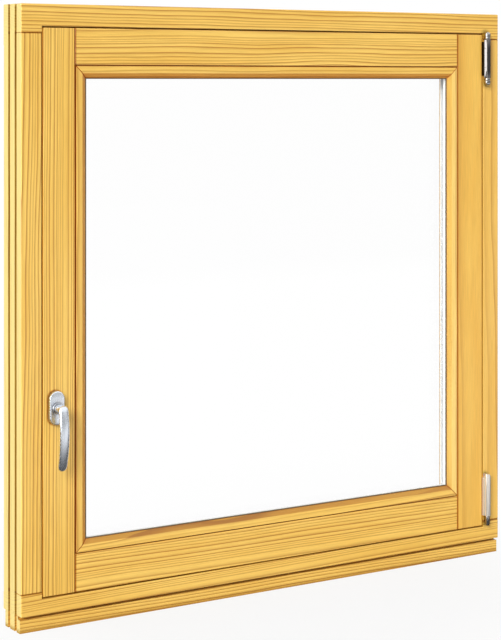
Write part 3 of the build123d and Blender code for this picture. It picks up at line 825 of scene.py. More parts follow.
@dataclass
class TimberFrame:
    """The outer frame of pine, with its sill profile, rain rail and gasket."""

    boards: dict[str, LacqueredPine] = field(
        default_factory=lambda: {
            "frame_head": GroovedPine(
                Grain.ALONG_X, (0, 1000), (150, 40), (0.4, 0.0), 5.4, 2.6, joint=HEAD_JOINT
            ),
            "frame_bottom_rail": GroovedPine(
                Grain.ALONG_X, (0, 40), (-170, 30), (-0.5, 0.0), 4.8, 1.6, joint=BOTTOM_RAIL_JOINT
            ),
            "frame_left_jamb": GroovedPine(
                Grain.ALONG_Z, (-480, 520), (130, 60), (0.9, 0.4), 5.2, 2.6, joint=JAMB_JOINTS
            ),
            "frame_right_jamb": GroovedPine(
                Grain.ALONG_Z, (480, 520), (60, 120), (0.5, 0.6), 9.0, 2.0, 0.5, "EEC060", "E8B652",
                joint=JAMB_JOINTS,
            ),
            "sill_profile": LacqueredPine(
                Grain.ALONG_X, (0, 14), (-120, 60), (0.6, 0.0), 5.2, 2.0,
                # Painted shadow on the sill's face under the bottom rail's overhang
                corner_shade=CornerShade("F0E0C0", "BEA880", 0.86, 13.0),
            ),
        }
    )
    rail: SatinMetal = SatinMetal("A9A296", 0.38, 0.05, (60, 1, 1))
    cap: MouldedPlastic = MouldedPlastic("3A3835", 0.5)
    gasket: SoftRubber = SoftRubber("17150F", "2A2722")

    def dress(self, frame: dict) -> None:
        """Finishes every piece of the outer frame.
        """
        for name, pine in self.boards.items():
            dress(frame, pine.material(f"lacquered_pine_{name}"), name)
        dress(frame, self.rail.material("anodised_rain_rail"), "rain_rail")
        dress(frame, self.cap.material("moulded_end_cap"), "rain_rail_left_cap", "rain_rail_right_cap")
        dress(frame, self.gasket.material("gasket_rubber"), "sash_gasket")


@dataclass(frozen=True)
class GlazingBead:
    """A moulded pine bead: flat crown, slope towards the glass, square quirk at the sash and mitred ends.

    It is modelled on the left of the glass and turned into place about the middle of the glass.

    Attributes:
        reach: from the middle of the glass to the joint with the sash.
        length: outer length, from mitre tip to mitre tip.
        turns: quarter turns from the left side to its own.
        middle: height of the middle of the glass.
        face: depth of its crown, level with the sash.
        depth: from the crown to its back.
        clearance: from the joint to its outer side.
        width: from the joint to its sight edge.
        crown: from the joint to the end of the crown.
        fall: how far the slope drops.
        quirk_width: from the joint to the inner side of the quirk.
        quirk_depth: from the crown to the bottom of the quirk.
        edge_round: width of the rounding at both ends of the slope.
        mitre_bevel: width of the bevel along the mitres.
    """

    reach: float
    length: float
    turns: int
    middle: float = 522.5
    face: float = -34.0
    depth: float = 11.5
    clearance: float = 0.6
    width: float = 22.0
    crown: float = 12.9
    fall: float = 6.0
    quirk_width: float = 1.9
    quirk_depth: float = 3.2
    edge_round: float = 1.4
    mitre_bevel: float = 0.8

    def _bar(self, name: str, near: float, far: float, top: float) -> bpy.types.Object:
        """Adds a square bar along the joint.

        Args:
            name: the bar's name.
            near: distance of its outer side from the joint.
            far: distance of its inner side.
            top: depth of its front under the crown.

        Returns:
            The bar.
        """
        half = self.length / 2
        low = (near - self.reach, self.face + top, self.middle - half)
        return block(name, low, (far - self.reach, self.face + self.depth, self.middle + half))

    def _on_mitre(self, at: Vector, end: int) -> bool:
        """Whether an edge's middle lies on the mitre at one end."""
        return abs(at.x + self.reach + end * (at.z - self.middle) - self.length / 2) < TOUCHING

    def _on_slope(self, at: Vector) -> bool:
        """Whether an edge's middle lies along the bar, at an end of the slope."""
        along = abs(at.z - self.middle) < 1
        return along and at.x > self.crown - self.reach - NEAR and at.y < self.face + self.fall + NEAR

    def build(self, name: str) -> bpy.types.Object:
        """Models the bead.

        Args:
            name: the piece's name.

        Returns:
            The bead, in its place.
        """
        bead = self._bar(name, self.quirk_width, self.width, 0.0)
        sight, front = self.width - self.reach, self.face
        slope = self.width - self.crown
        squash = self.fall / slope
        centre = (0, front * MM, self.middle * MM)
        with shaping(bead):
            # The slope is an even bevel of a deeper bar, which is then squashed
            bpy.ops.mesh.select_all(action="SELECT")
            bpy.ops.transform.resize(value=(1, 1 / squash, 1), center_override=centre)
            choose(bead, Part.EDGES, lambda at: abs(at.x - sight) < NEAR and abs(at.y - front) < NEAR)
            ease(slope)
            bpy.ops.mesh.select_all(action="SELECT")
            bpy.ops.transform.resize(value=(1, squash, 1), center_override=centre)
            choose(bead, Part.EDGES, self._on_slope)
            ease(self.edge_round, 4)
        combine(bead, self._bar("tongue", self.clearance, self.quirk_width + 1, self.quirk_depth), "UNION")
        with shaping(bead):
            for end in (-1, 1):
                trim((-self.reach, 0, self.middle + end * self.length / 2), (1, 0, end))
                choose(bead, Part.EDGES, lambda at: self._on_mitre(at, end) and at.y < front + self.fall)
                ease(self.mitre_bevel)
            bpy.ops.mesh.select_all(action="SELECT")
            turn = {"value": -self.turns * math.pi / 2, "orient_axis": "Y", "orient_type": "GLOBAL"}
            bpy.ops.transform.rotate(center_override=centre, **turn)
        return bead


@dataclass
class GlazedSash:
    """The sash of pine, with its beads, glass unit and seals.

    Attributes:
        beads: the four beads.
        boards: the pine of its boards and beads.
        sight: half width, bottom and top of the sealant's lip, which follows the beads' sight edges.
        sight_depth: front and back of the lip.
        lip_width: width of the lip.
        bed: half width, bottom and top of the sealant's bed, between the beads and the glass.
        bed_depth: front and back of the bed.
        bed_width: width of the bed.
        glass: the finish of the panes.
        spacer: the finish of the bars between them.
        seal: the finish of the sealant and of the outer seal.
    """

    beads: dict[str, GlazingBead] = field(
        default_factory=lambda: {
            "bead_left": GlazingBead(402.0, 809.0, 0),
            "bead_top": GlazingBead(404.5, 804.0, 1),
            "bead_right": GlazingBead(402.0, 809.0, 2),
            "bead_bottom": GlazingBead(404.5, 804.0, 3),
        }
    )
    boards: dict[str, LacqueredPine] = field(
        default_factory=lambda: {
            "sash_left_stile": LacqueredPine(
                Grain.ALONG_Z, (-430, 520), (-160, 30), (0.3, 0.0), 4.7, 1.6, joint=STILE_JOINT
            ),
            "sash_right_stile": LacqueredPine(
                Grain.ALONG_Z, (430, 520), (40, 160), (0.4, 0.3), 9.0, 2.0, 0.4, "EEBE58", "E7B24C",
                joint=STILE_JOINT,
            ),
            "sash_top_rail": LacqueredPine(
                Grain.ALONG_X, (0, 957), (140, 60), (-0.5, 0.0), 5.0, 3.2, joint=RAIL_JOINTS
            ),
            "sash_bottom_rail": LacqueredPine(
                Grain.ALONG_X, (0, 87), (-160, 50), (0.5, 0.0), 5.2, 1.8, joint=RAIL_JOINTS
            ),
            # Each bead's slope tint is painted shade on its fall towards the glass
            "bead_left": BeadPine(
                Grain.ALONG_Z, (-390, 520), (50, 40), (0.8, 0.5), 6.0, 2.5, 0.6, slope="FADAAA"
            ),
            # Painted light: the right bead is a paler copy of the pine, as if lit on its fall from the left
            "bead_right": BeadPine(
                Grain.ALONG_Z, (390, 520), (70, 60), (0.4, 0.4), 7.0, 2.0, 0.4, "FAD67C", "F3CA6C",
                slope="E8DFC8",
            ),
            "bead_top": BeadPine(
                Grain.ALONG_X, (0, 915), (60, 50), (0.3, 0.4), 6.0, 2.0, 0.6, slope="EECB98"
            ),
            "bead_bottom": BeadPine(
                Grain.ALONG_X, (0, 130), (60, 50), (-0.4, 0.3), 6.0, 2.0, 0.6, slope="C8B288"
            ),
        }
    )
    sight: Triple = (380.0, 140.0, 905.0)
    sight_depth: tuple[float, float] = (-28.2, -20.1)
    lip_width: float = 1.2
    bed: Triple = (396.5, 123.5, 921.5)
    bed_depth: tuple[float, float] = (-22.5, -20.1)
    bed_width: float = 17.0
    glass: FloatGlass = FloatGlass()
    spacer: SatinMetal = SatinMetal("FAFBFC", 0.3, 0.03, (1, 1, 6), 0.004, 0.4)
    # The sealant's lip is painted dark in front, as painted shade along the beads' sight edges
    seal: SoftRubber = SoftRubber("E6E7E6", "EFF0EF", "6E654E", -25.6)

    def _ring(self, name: str, outer: Triple, depths: tuple[float, float], width: float) -> bpy.types.Object:
        """Makes a square frame round the glass.

        Args:
            name: the frame's name.
            outer: its half width, its bottom and its top.
            depths: its front and back.
            width: the width of its bars.

        Returns:
            The frame.
        """
        half, low, high = outer
        front, back = depths
        ring = block(name, (-half, front, low), (half, back, high))
        inner = half - width
        opening = block("opening", (-inner, front - 1, low + width), (inner, back + 1, high - width))
        combine(ring, opening, "DIFFERENCE")
        return ring

    def sealant(self) -> bpy.types.Object:
        """Models the sealant: a bed between the beads and the glass, and a lip along the beads' slopes.

        Returns:
            The sealant.
        """
        lip = self._ring("sealant", self.sight, self.sight_depth, self.lip_width)
        combine(lip, self._ring("bed", self.bed, self.bed_depth, self.bed_width), "UNION")
        return lip

    def dress(self, frame: dict) -> None:
        """Models the beads and the sealant, and finishes every piece of the sash.
        """
        for name, pine in self.boards.items():
            finish = pine.material(f"lacquered_pine_{name}")
            if name in self.beads:
                complete(self.beads[name].build(f"moulded_{name}"), finish, WINDOW, name)
            else:
                dress(frame, finish, name)
        dress(frame, self.glass.material("clear_float_glass"), "inner_pane", "outer_pane")
        dress(frame, self.spacer.material("mill_finish_spacer"), "spacer_bars")
        seal = self.seal.material("pale_glazing_sealant")
        complete(self.sealant(), seal, WINDOW, "inner_glazing_seal")
        dress(frame, seal, "outer_glazing_seal")


@dataclass
class Handle:
    """The turning handle: a bowed cast lever on an oval rosette, both satin anodised.

    Attributes:
        spindle: where the handle turns, in X and Z.
        sash_face: depth of the sash's face.
        dome_inset: from the rosette's rim to its domed middle.
        dome_rise: how far the middle stands out.
        collar_taper: size of the collar's front against its foot.
        head: from the spindle up to the lever's top.
        length: from the spindle down to its tip.
        standoff: from the sash's face to the grip's middle at its top.
        tip_standoff: the same at its tip.
        bow: how far the grip bows out between them.
        waist: how much narrower the grip is away from its widest place.
        widest: share of the lever's length at which it is widest.
        thinning: how much thinner the grip is at its tip.
        edge: share of its thickness that is left at its ends.
        head_round: length of the rounding at its top.
        tip_round: length of the rounding at its tip.
        end_sections: shares of its length at which the sections near both ends stand.
        run: start and length of the stretch with even sections, as shares of its length.
        run_steps: the number of those sections less one.
        voxel: size of the cells in which neck and grip flow together.
        finish: its finish.
    """

    spindle: tuple[float, float] = (-439.0, 364.0)
    sash_face: float = -34.0
    rosette_width: float = 27.0
    rosette_length: float = 56.0
    rosette_depth: float = 9.0
    rim_round: float = 1.8
    dome_inset: float = 1.6
    dome_rise: float = 0.35
    collar_radius: float = 9.6
    collar_depth: float = 3.0
    collar_taper: float = 0.93
    collar_round: float = 0.5
    socket_radius: float = 7.75
    socket_depth: float = 8.0
    neck_radius: float = 7.6
    neck_gap: float = 0.2
    head: float = 7.6
    length: float = 101.0
    standoff: float = 30.0
    tip_standoff: float = 25.5
    bow: float = 7.2
    width: float = 17.0
    thickness: float = 11.0
    waist: float = 0.1
    widest: float = 0.45
    thinning: float = 0.18
    edge: float = 0.35
    head_round: float = 8.5
    tip_round: float = 7.5
    end_sections: tuple[list[float], list[float]] = ([0.012, 0.03, 0.05], [0.945, 0.965, 0.98, 0.992])
    run: tuple[float, float] = (0.08, 0.84)
    run_steps: int = 26
    voxel: float = 0.55
    # The satin finish carries painted shade in its inner corners, round the neck and collar
    finish: SatinMetal = SatinMetal("EAF0F8", 0.27, 0.02, (1, 1, 12), 0.004, corner_shade=14.0)

    def _disc(self, name: str, radius: float, front: float, back: float, sides: int = 64) -> bpy.types.Object:
        """Adds a round slab on the spindle's line.

        Args:
            name: the slab's name.
            radius: its radius.
            front: depth of its front.
            back: depth of its back.
            sides: the number of its sides.

        Returns:
            The slab.
        """
        x, z = self.spindle
        return begin(
            name,
            bpy.ops.mesh.primitive_cylinder_add,
            vertices=sides,
            radius=radius * MM,
            depth=(back - front) * MM,
            rotation=(math.pi / 2, 0, 0),
            location=(x * MM, (front + back) / 2 * MM, z * MM),
        )

    def rosette(self) -> bpy.types.Object:
        """Models the rosette: a domed oval with a round rim, and a collar with the lever's socket.

        Returns:
            The rosette.
        """
        x, z = self.spindle
        front = self.sash_face - self.rosette_depth
        plate = self._disc("rosette", self.rosette_width / 2, front, self.sash_face, 66)
        stretch = (self.rosette_length - self.rosette_width) / 2 * MM
        with shaping(plate):
            choose(plate, Part.VERTS, lambda middle: middle.z > z)
            bpy.ops.transform.translate(value=(0, 0, stretch))
            choose(plate, Part.VERTS, lambda middle: middle.z < z)
            bpy.ops.transform.translate(value=(0, 0, -stretch))
            choose(plate, Part.FACES, lambda middle: middle.y < front + NEAR)
            ease(self.rim_round, 5)
            choose(plate, Part.FACES, lambda middle: middle.y < front + TOUCHING)
            bpy.ops.mesh.inset(thickness=self.dome_inset * MM)
            bpy.ops.transform.translate(value=(0, -self.dome_rise * MM, 0))
        top = front - self.collar_depth
        collar = self._disc("collar", self.collar_radius, top, front + 1)
        with shaping(collar):
            choose(collar, Part.FACES, lambda middle: middle.y < top + NEAR)
            taper = (self.collar_taper, 1, self.collar_taper)
            bpy.ops.transform.resize(value=taper, center_override=(x * MM, top * MM, z * MM))
            ease(self.collar_round, 3)
        combine(plate, collar, "UNION")
        socket = self._disc("socket", self.socket_radius, top - 1, top + self.socket_depth)
        combine(plate, socket, "DIFFERENCE")
        return plate

    def _grip_line(self, drop: float) -> float:
        """Works out the depth of the grip's middle, on the bow's curve.

        Args:
            drop: distance under the spindle.

        Returns:
            The depth, along Y.
        """
        along = (drop + self.head) / (self.length + self.head)
        straight = self.standoff + (self.tip_standoff - self.standoff) * along
        return self.sash_face - straight - 4 * self.bow * along * (1 - along)

    def _grip_section(self, drop: float) -> tuple[float, float]:
        """Works out the size of the grip's oval section.

        Args:
            drop: distance under the spindle.

        Returns:
            Half its width and half its thickness.
        """
        along = (drop + self.head) / (self.length + self.head)
        full = 1.0 - self.waist * (2 * along - 2 * self.widest) ** 2
        rounding = 1.0
        for end in ((drop + self.head) / self.head_round, (self.length - drop) / self.tip_round):
            rounding *= math.sqrt(max(1 - (1 - min(1.0, end)) ** 2, 0))
        thickness = self.thickness * (1 - self.thinning * along) * (self.edge + (1 - self.edge) * rounding)
        return self.width / 2 * full * rounding, thickness / 2 * full

    def lever(self) -> bpy.types.Object:
        """Models the lever: oval sections drawn down the bow, and a neck that the casting flows into.

        Returns:
            The lever.
        """
        x, z = self.spindle
        start, span = self.run
        near_head, near_tip = self.end_sections
        even = [start + span * step / self.run_steps for step in range(self.run_steps + 1)]
        drops = [(self.length + self.head) * place - self.head for place in (*near_head, *even, *near_tip)]
        centres = [(x * MM, self._grip_line(drop) * MM, (z - drop) * MM) for drop in drops]
        sections = [self._grip_section(drop) for drop in drops]
        circle = {"vertices": 48, "radius": MM, "fill_type": "NGON", "location": centres[0]}
        grip = begin("lever", bpy.ops.mesh.primitive_circle_add, **circle)
        with shaping(grip):
            bpy.ops.mesh.select_all(action="SELECT")
            bpy.ops.transform.resize(value=(*sections[0], 1), center_override=centres[0])
            for place, (old, new) in enumerate(zip(sections, sections[1:]), start=1):
                step = [to - back for to, back in zip(centres[place], centres[place - 1])]
                bpy.ops.mesh.extrude_region_move(TRANSFORM_OT_translate={"value": step})
                ratio = (new[0] / old[0], new[1] / old[1], 1)
                bpy.ops.transform.resize(value=ratio, center_override=centres[place])
        socket_front = self.sash_face - self.rosette_depth - self.collar_depth
        neck_back = socket_front + self.socket_depth - self.neck_gap
        combine(grip, self._disc("neck", self.neck_radius, self._grip_line(0), neck_back), "UNION")
        apply_modifier(grip, "REMESH", mode="VOXEL", voxel_size=self.voxel * MM)
        apply_modifier(grip, "SMOOTH", factor=0.5, iterations=10)
        return grip

    def build(self) -> None:
        """Models and dresses the handle."""
        satin = self.finish.material("satin_anodised_handle")
        complete(self.rosette(), satin, WINDOW, "handle_rosette")
        complete(self.lever(), satin, HANDLE, "handle_lever", sharp=60.0)


@dataclass
class Hinges:
    """The two hinges on the right jamb: a plated one above, a plated bearing and a painted cover below.

    Attributes:
        axis: where the hinges' axis stands, in X and Y.
        face: depth of the jamb's face.
        top: lowest and highest point of the top hinge.
        head_length: length of the pin's domed heads.
        head_tip: radius of the flat at a dome's tip.
        flat: a point of the flat on the barrel, in X and Y.
        flat_turn: how far the flat turns away from the jamb, in degrees.
        flat_reach: how far the barrel's shoulder stands out in front of the axis.
        joints: shares of the barrel's length at which its grooves lie.
        groove: half a groove's width at its top and at its bottom, and its depth.
        shoulder_gap: from a shoulder's end to the groove.
        shoulder_back: how far a shoulder reaches behind the flat's point.
        bearing: lowest and highest point of the lower bearing.
        cover_left: where the cover's flat side lies, in X.
        cover_fall: how far the cover's top falls away over its radius.
        cover_top: thickness of the cover's top.
        cover_sharp: edges of the cover that turn by more than this many degrees are rounded.
        flank_front: how far the cover's flat side reaches in front of the axis.
        flank_gap: from the cover to the jamb's face.
        slot: front and back of the slot that the leaf enters the cover by.
        cap: metallic paint, whose flakes leave a soft silver sheen on the cover and the lower leaf.
    """

    axis: tuple[float, float] = (468.4, -41.0)
    face: float = -34.0
    foot_width: float = 6.0
    foot_inset: float = 0.6
    top: tuple[float, float] = (891.5, 993.5)
    head_length: float = 9.0
    head_radius: float = 5.7
    head_tip: float = 0.6
    head_ease: float = 0.3
    shank_radius: float = 2.4
    knuckle_length: float = 5.0
    knuckle_radius: float = 5.2
    knuckle_round: float = 0.7
    barrel_radius: float = 6.0
    barrel_gap: float = 0.3
    barrel_round: float = 0.8
    flat: tuple[float, float] = (461.3, -41.0)
    flat_turn: float = 33.0
    flat_reach: float = 3.9
    joints: tuple[float, float] = (0.27, 0.76)
    groove: Triple = (0.35, 0.2, 0.25)
    shoulder_gap: float = 0.3
    shoulder_back: float = 0.2
    bearing: tuple[float, float] = (58.5, 74.5)
    bearing_radius: float = 4.6
    cover_low: float = 74.8
    cover_length: float = 79.0
    cover_radius: float = 5.8
    cover_bore: float = 4.5
    cover_left: float = 463.0
    cover_fall: float = 6.0
    cover_top: float = 7.0
    cover_round: float = 0.6
    cover_sharp: float = 35.0
    flank_front: float = 0.5
    flank_gap: float = 0.3
    slot: tuple[float, float] = (-38.5, -36.5)
    chrome: SatinMetal = SatinMetal("B4B2B0", 0.2, 0.03, (1, 1, 6))
    drawn: SatinMetal = SatinMetal("767270", 0.2, 0.03, (1, 1, 6))
    dark: SatinMetal = SatinMetal("3B3A38", 0.25, 0.03, (1, 1, 6))
    cap: SatinMetal = SatinMetal("EEE9E0", 0.22, 0.02, (1, 1, 6), 0.004, 0.66)

    def knuckle(self, name: str, low: float, high: float, radius: float) -> bpy.types.Object:
        """Models a fixed knuckle: a bar with eased ends on the axis, and its foot on the jamb.

        Args:
            name: the piece's name.
            low: height of its lower end.
            high: height of its upper end.
            radius: the bar's radius.

        Returns:
            The knuckle.
        """
        x, y = self.axis
        half, inset = self.foot_width / 2, self.foot_inset
        bar = turned(name, self.axis, bar_outline(low, high, radius, self.knuckle_round))
        combine(bar, block("foot", (x - half, y, low + inset), (x + half, self.face, high - inset)), "UNION")
        return bar

    def top_pin(self) -> bpy.types.Object:
        """Models the top hinge's pin: a thin shank between two domed heads.

        Returns:
            The pin.
        """
        low, high = self.top
        radius, eased = self.head_radius, self.head_ease
        shank_low, shank_high = low + self.head_length, high - self.head_length
        shank = [
            (shank_low - eased, radius),
            (shank_low, radius - eased),
            (shank_low, self.shank_radius),
            (shank_high, self.shank_radius),
            (shank_high, radius - eased),
            (shank_high + eased, radius),
        ]
        outline = bar_outline(low, high, radius, radius - self.head_tip, 7, shank)
        return turned("top_pin", self.axis, outline)

    def top_bracket(self) -> bpy.types.Object:
        """Models the top hinge's fixed knuckles, above and under the barrel.

        Returns:
            The two knuckles, as one piece.
        """
        low, high = self.top[0] + self.head_length, self.top[1] - self.head_length
        bracket = self.knuckle("top_knuckles", low, low + self.knuckle_length, self.knuckle_radius)
        upper = self.knuckle("upper_knuckle", high - self.knuckle_length, high, self.knuckle_radius)
        combine(bracket, upper, "UNION")
        return bracket

    def top_barrel(self) -> bpy.types.Object:
        """Models the top hinge's barrel: a grooved bar, squared on the side of the sash and cut to a flat.

        Returns:
            The barrel.
        """
        x, y = self.axis
        ends = self.head_length + self.knuckle_length + self.barrel_gap
        start, end = self.top[0] + ends, self.top[1] - ends
        joints = [start + (end - start) * share for share in self.joints]
        outer, inner, depth = self.groove
        radius, bottom = self.barrel_radius, self.barrel_radius - depth
        grooves = []
        for joint in joints:
            grooves += [(joint - outer, radius), (joint - inner, bottom)]
            grooves += [(joint + inner, bottom), (joint + outer, radius)]
        outline = bar_outline(start, end, radius, self.barrel_round, between=grooves)
        barrel = turned("top_barrel", self.axis, outline)
        lows, highs = [start + self.barrel_round, *joints], [*joints, end - self.barrel_round]
        gap, back = self.shoulder_gap, self.flat[1] + self.shoulder_back
        for low, high in zip(lows, highs):
            near = (self.flat[0], y - self.flat_reach, low + gap)
            combine(barrel, block("shoulder", near, (x, back, high - gap)), "UNION")
        turn = math.radians(self.flat_turn)
        with shaping(barrel):
            trim((*self.flat, 0), (-math.cos(turn), -math.sin(turn), 0))
        return barrel

    def cover(self) -> bpy.types.Object:
        """Models the lower cover: a capped sleeve, flat towards the sash, whose top falls away to the right.

        Returns:
            The cover.
        """
        x, y = self.axis
        low, high = self.cover_low, self.cover_low + self.cover_length
        radius, bore = self.cover_radius, self.cover_bore
        sleeve = turned("lower_cover", self.axis, [(low, radius), (high, radius)])
        near, far = (self.cover_left, y - self.flank_front, low), (x, self.face - self.flank_gap, high)
        combine(sleeve, block("flank", near, far), "UNION")
        with shaping(sleeve):
            trim((x, y, high), (self.cover_fall, 0, radius))
        sharp = math.radians(self.cover_sharp)
        rounding = {"width": self.cover_round * MM, "segments": 3, "angle_limit": sharp}
        apply_modifier(sleeve, "BEVEL", limit_method="ANGLE", **rounding)
        ceiling = high - self.cover_top
        combine(sleeve, turned("bore", self.axis, [(low - 1, bore), (ceiling, bore)]), "DIFFERENCE")
        slot = block("slot", (x - radius - 1, self.slot[0], low - 1), (x, self.slot[1], ceiling))
        combine(sleeve, slot, "DIFFERENCE")
        return sleeve

    def build(self, frame: dict) -> None:
        """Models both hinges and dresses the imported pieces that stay.
        """
        chrome = self.chrome.material("bright_plated_hinge")
        drawn = self.drawn.material("drawn_plated_barrel")
        cap = self.cap.material("silver_painted_cap")
        complete(self.top_pin(), chrome, WINDOW, "top_hinge_pin")
        complete(self.top_bracket(), chrome, WINDOW, "top_hinge_bracket")
        complete(self.top_barrel(), drawn, WINDOW, "top_hinge_barrel")
        bearing = self.knuckle("corner_bearing", *self.bearing, self.bearing_radius)
        complete(bearing, chrome, WINDOW, "bottom_hinge_bearing")
        complete(self.cover(), cap, WINDOW, "bottom_hinge_cover")
        dress(frame, drawn, "bottom_hinge_barrel", "bottom_hinge_pin")
        dress(frame, self.dark.material("blackened_leaf"), "top_hinge_leaf")
        dress(frame, cap, "bottom_hinge_leaf")


@dataclass(frozen=True)
class SoftBox:
    """A rectangular lamp.

    Attributes:
        place: where it hangs.
        size: its width and height.
        watts: its power.
        target: the point that it faces.
    """

    place: Triple
    size: tuple[float, float]
    watts: float
    target: Triple = (0.0, 0.0, 0.5)

    def hang(self, name: str) -> bpy.types.Object:
        """Hangs the lamp. Metal mirrors the world's own bright opening in its place.

        Args:
            name: the lamp's name.

        Returns:
            The lamp.
        """
        data = bpy.data.lights.new(name, "AREA")
        data.shape = "RECTANGLE"
        data.size, data.size_y = self.size
        data.energy = self.watts
        lamp = bpy.data.objects.new(name, data)
        lamp.location = self.place
        lamp.rotation_euler = (Vector(self.target) - Vector(self.place)).to_track_quat("-Z", "Y").to_euler()
        lamp.visible_camera = False
        lamp.visible_glossy = False
        lamp.visible_transmission = False
        bpy.context.scene.collection.objects.link(lamp)
        return lamp


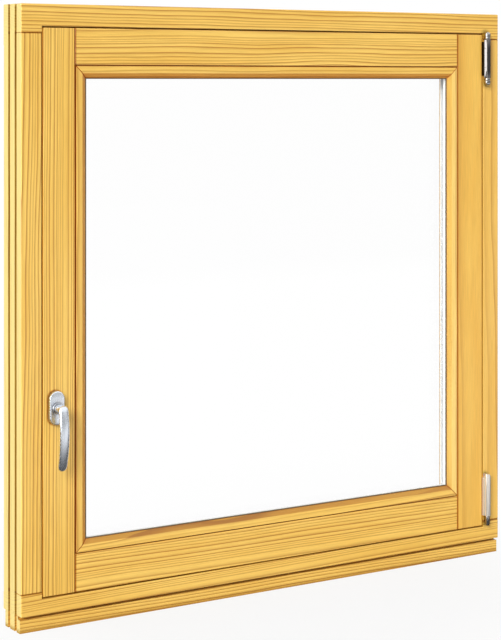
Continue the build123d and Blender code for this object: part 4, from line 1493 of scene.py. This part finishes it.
@dataclass
class Studio:
    """Plain soft light, a pale floor and the camera at the photograph's viewing angle.

    Attributes:
        camera_yaw: how far the camera turns to the right, in degrees.
        lens: focal length, in millimetres.
        sensor: the sensor's length along the picture's 640 pixels, in millimetres.
        shift_up: shift of the lens, as a share of that length.
        daylight: strength of the sun.
        daylight_spread: its angle, in degrees.
        daylight_from: the direction that it comes from.
        card: a white card that lights only what the handle mirrors.
        ambient: strength of the world's even light.
        room: brightness that metal mirrors: axis, start and end of a change, brightness before and after it.
        sheet: the white part of the floor that metal mirrors: start and end of each border, along Y.
        mirrored: brightness of the floor outside and inside that part, as metal mirrors it.
        shadow: radii of the floor's shadow and of plain white, and the floor's own light in the shadow.
    """

    camera_place: Triple = (-1.7945, -2.7856, 0.902)
    camera_yaw: float = 32.232
    lens: float = 104.46
    sensor: float = 36.0
    shift_up: float = -0.375
    daylight: float = 3.15
    daylight_spread: float = 30.0
    daylight_from: Triple = (-0.676, -0.568, 0.44)
    side: SoftBox = SoftBox((-3.2, 0.9, 1.2), (0.8, 1.8), 21)
    back: SoftBox = SoftBox((0.8, 3.2, 2.0), (2.4, 2.0), 30)
    card: SoftBox = SoftBox((0.0, -0.74, 0.33), (0.6, 0.62), 0.2, (-0.44, -0.05, 0.34))
    ambient: float = 0.47
    room: tuple[tuple[str, float, float, float, float], ...] = (
        ("Y", -0.25, 0.3, 0.12, 0.04),
        ("Z", 0.0, 0.3, 0.0, 1.0),
        ("X", -0.84, -0.9, 0.0, 6.0),
    )
    sheet: tuple[tuple[float, float], ...] = ((-0.4, -1.0), (-5.0, -4.2))
    mirrored: tuple[float, float] = (0.12, 0.95)
    shadow: Triple = (0.35, 0.8, 0.86)

    def camera(self) -> None:
        """Places the camera, level."""
        data = bpy.data.cameras.new("camera")
        data.lens = self.lens
        data.sensor_width = self.sensor
        data.sensor_fit = "AUTO"
        data.shift_y = self.shift_up
        data.clip_start = 0.05
        data.clip_end = 60.0
        obj = bpy.data.objects.new("camera", data)
        obj.location = self.camera_place
        obj.rotation_euler = (math.radians(90), 0.0, math.radians(-self.camera_yaw))
        bpy.context.scene.collection.objects.link(obj)
        bpy.context.scene.camera = obj

    def lights(self) -> None:
        """Hangs the daylight, the side and back lights, and the card, which shows only in reflections."""
        data = bpy.data.lights.new("key", "SUN")
        data.energy = self.daylight
        data.angle = math.radians(self.daylight_spread)
        key = bpy.data.objects.new("key", data)
        key.rotation_euler = (-Vector(self.daylight_from)).to_track_quat("-Z", "Y").to_euler()
        key.visible_glossy = False
        bpy.context.scene.collection.objects.link(key)
        self.side.hang("side")
        self.back.hang("back")
        card = self.card.hang("card")
        card.visible_glossy = True
        card.visible_diffuse = False

    def world(self) -> None:
        """Makes a world that is white behind the window, a dim room in metal, and a weak even light."""
        world = bpy.data.worlds.new("studio")
        bpy.context.scene.world = world
        world.use_nodes = True
        world.node_tree.nodes.clear()
        add = partial(add_node, world.node_tree)
        path = add("LightPath").outputs
        through = add("Math", {0: path["Is Camera Ray"], 1: path["Is Transmission Ray"]}, operation="MAXIMUM")
        # Metal mirrors dim walls, a paler ceiling and a wide bright opening on the left
        way = add("SeparateXYZ", {0: add("TexCoord").outputs["Generated"]})
        room: object = 0.0
        for axis, start, end, before, after in self.room:
            change = {"From Min": start, "From Max": end, "To Min": before, "To Max": after}
            wall = add("MapRange", {"Value": way.outputs[axis], **change})
            room = add("Math", {0: room, 1: wall}, operation="ADD")
        mirrored = add("Mix", {0: path["Is Glossy Ray"], 2: self.ambient, 3: room}, data_type="FLOAT")
        strength = add("Mix", {0: through, 2: mirrored, 3: 1.0}, data_type="FLOAT")
        add("OutputWorld", {"Surface": add("Background", {"Color": WHITE, "Strength": strength})})

    def floor(self) -> None:
        """Lays the pale floor: white from afar, with a soft shadow under the window."""
        bpy.ops.object.select_all(action="DESELECT")
        bpy.ops.mesh.primitive_plane_add(size=30.0, location=(0, 0, 0))
        floor = bpy.context.object
        floor.name = "floor"
        material, add = new_material("pale_floor")
        path = add("LightPath").outputs
        where = add("TexCoord").outputs["Object"]
        painted = add("BsdfPrincipled", {"Base Color": (0.6, 0.6, 0.6, 1), "Roughness": 0.9})
        # The shadow shows near the window, and the floor beyond is plain white
        away = add("VectorMath", {0: where}, operation="LENGTH").outputs["Value"]
        near, far, light = self.shadow
        fade = add("MapRange", {"Value": away, "From Min": near, "From Max": far, "To Min": light})
        seen = add("Math", {0: path["Is Camera Ray"], 1: fade}, operation="MULTIPLY")
        other = add("Math", {0: path["Is Glossy Ray"], 1: path["Is Transmission Ray"]}, operation="MAXIMUM")
        share = add("Math", {0: seen, 1: other}, operation="MAXIMUM")
        # Metal mirrors a white floor in front of the window and a dim one near and behind it
        depth = add("SeparateXYZ", {0: where}).outputs["Y"]
        borders = [add("MapRange", {"Value": depth, "From Min": a, "From Max": b}) for a, b in self.sheet]
        sheet = add("Math", {0: borders[0], 1: borders[1]}, operation="MULTIPLY")
        dim, bright = self.mirrored
        mirrored = add("MapRange", {"Value": sheet, "To Min": dim, "To Max": bright})
        # A ray through glass counts as a glossy one too
        rays = {0: path["Is Glossy Ray"], 1: path["Is Transmission Ray"]}
        reflected = add("Math", rays, operation="SUBTRACT", use_clamp=True)
        strength = add("Mix", {0: reflected, 2: 1.0, 3: mirrored}, data_type="FLOAT")
        lit = add("Emission", {"Color": WHITE, "Strength": strength})
        add("OutputMaterial", {"Surface": add("MixShader", {0: share, 1: painted, 2: lit})})
        floor.data.materials.append(material)

    def build(self) -> None:
        """Sets up the whole studio."""
        bpy.context.scene.view_settings.view_transform = "Standard"
        self.camera()
        self.lights()
        self.world()
        self.floor()


def main() -> None:
    """Builds and dresses the window, then sets up the studio."""
    logging.basicConfig(level=logging.INFO, format="%(name)s: %(message)s")
    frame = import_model()
    bpy.ops.object.select_all(action="DESELECT")
    TimberFrame().dress(frame)
    GlazedSash().dress(frame)
    Handle().build()
    Hinges().build(frame)
    Studio().build()


if __name__ == "__main__":
    main()
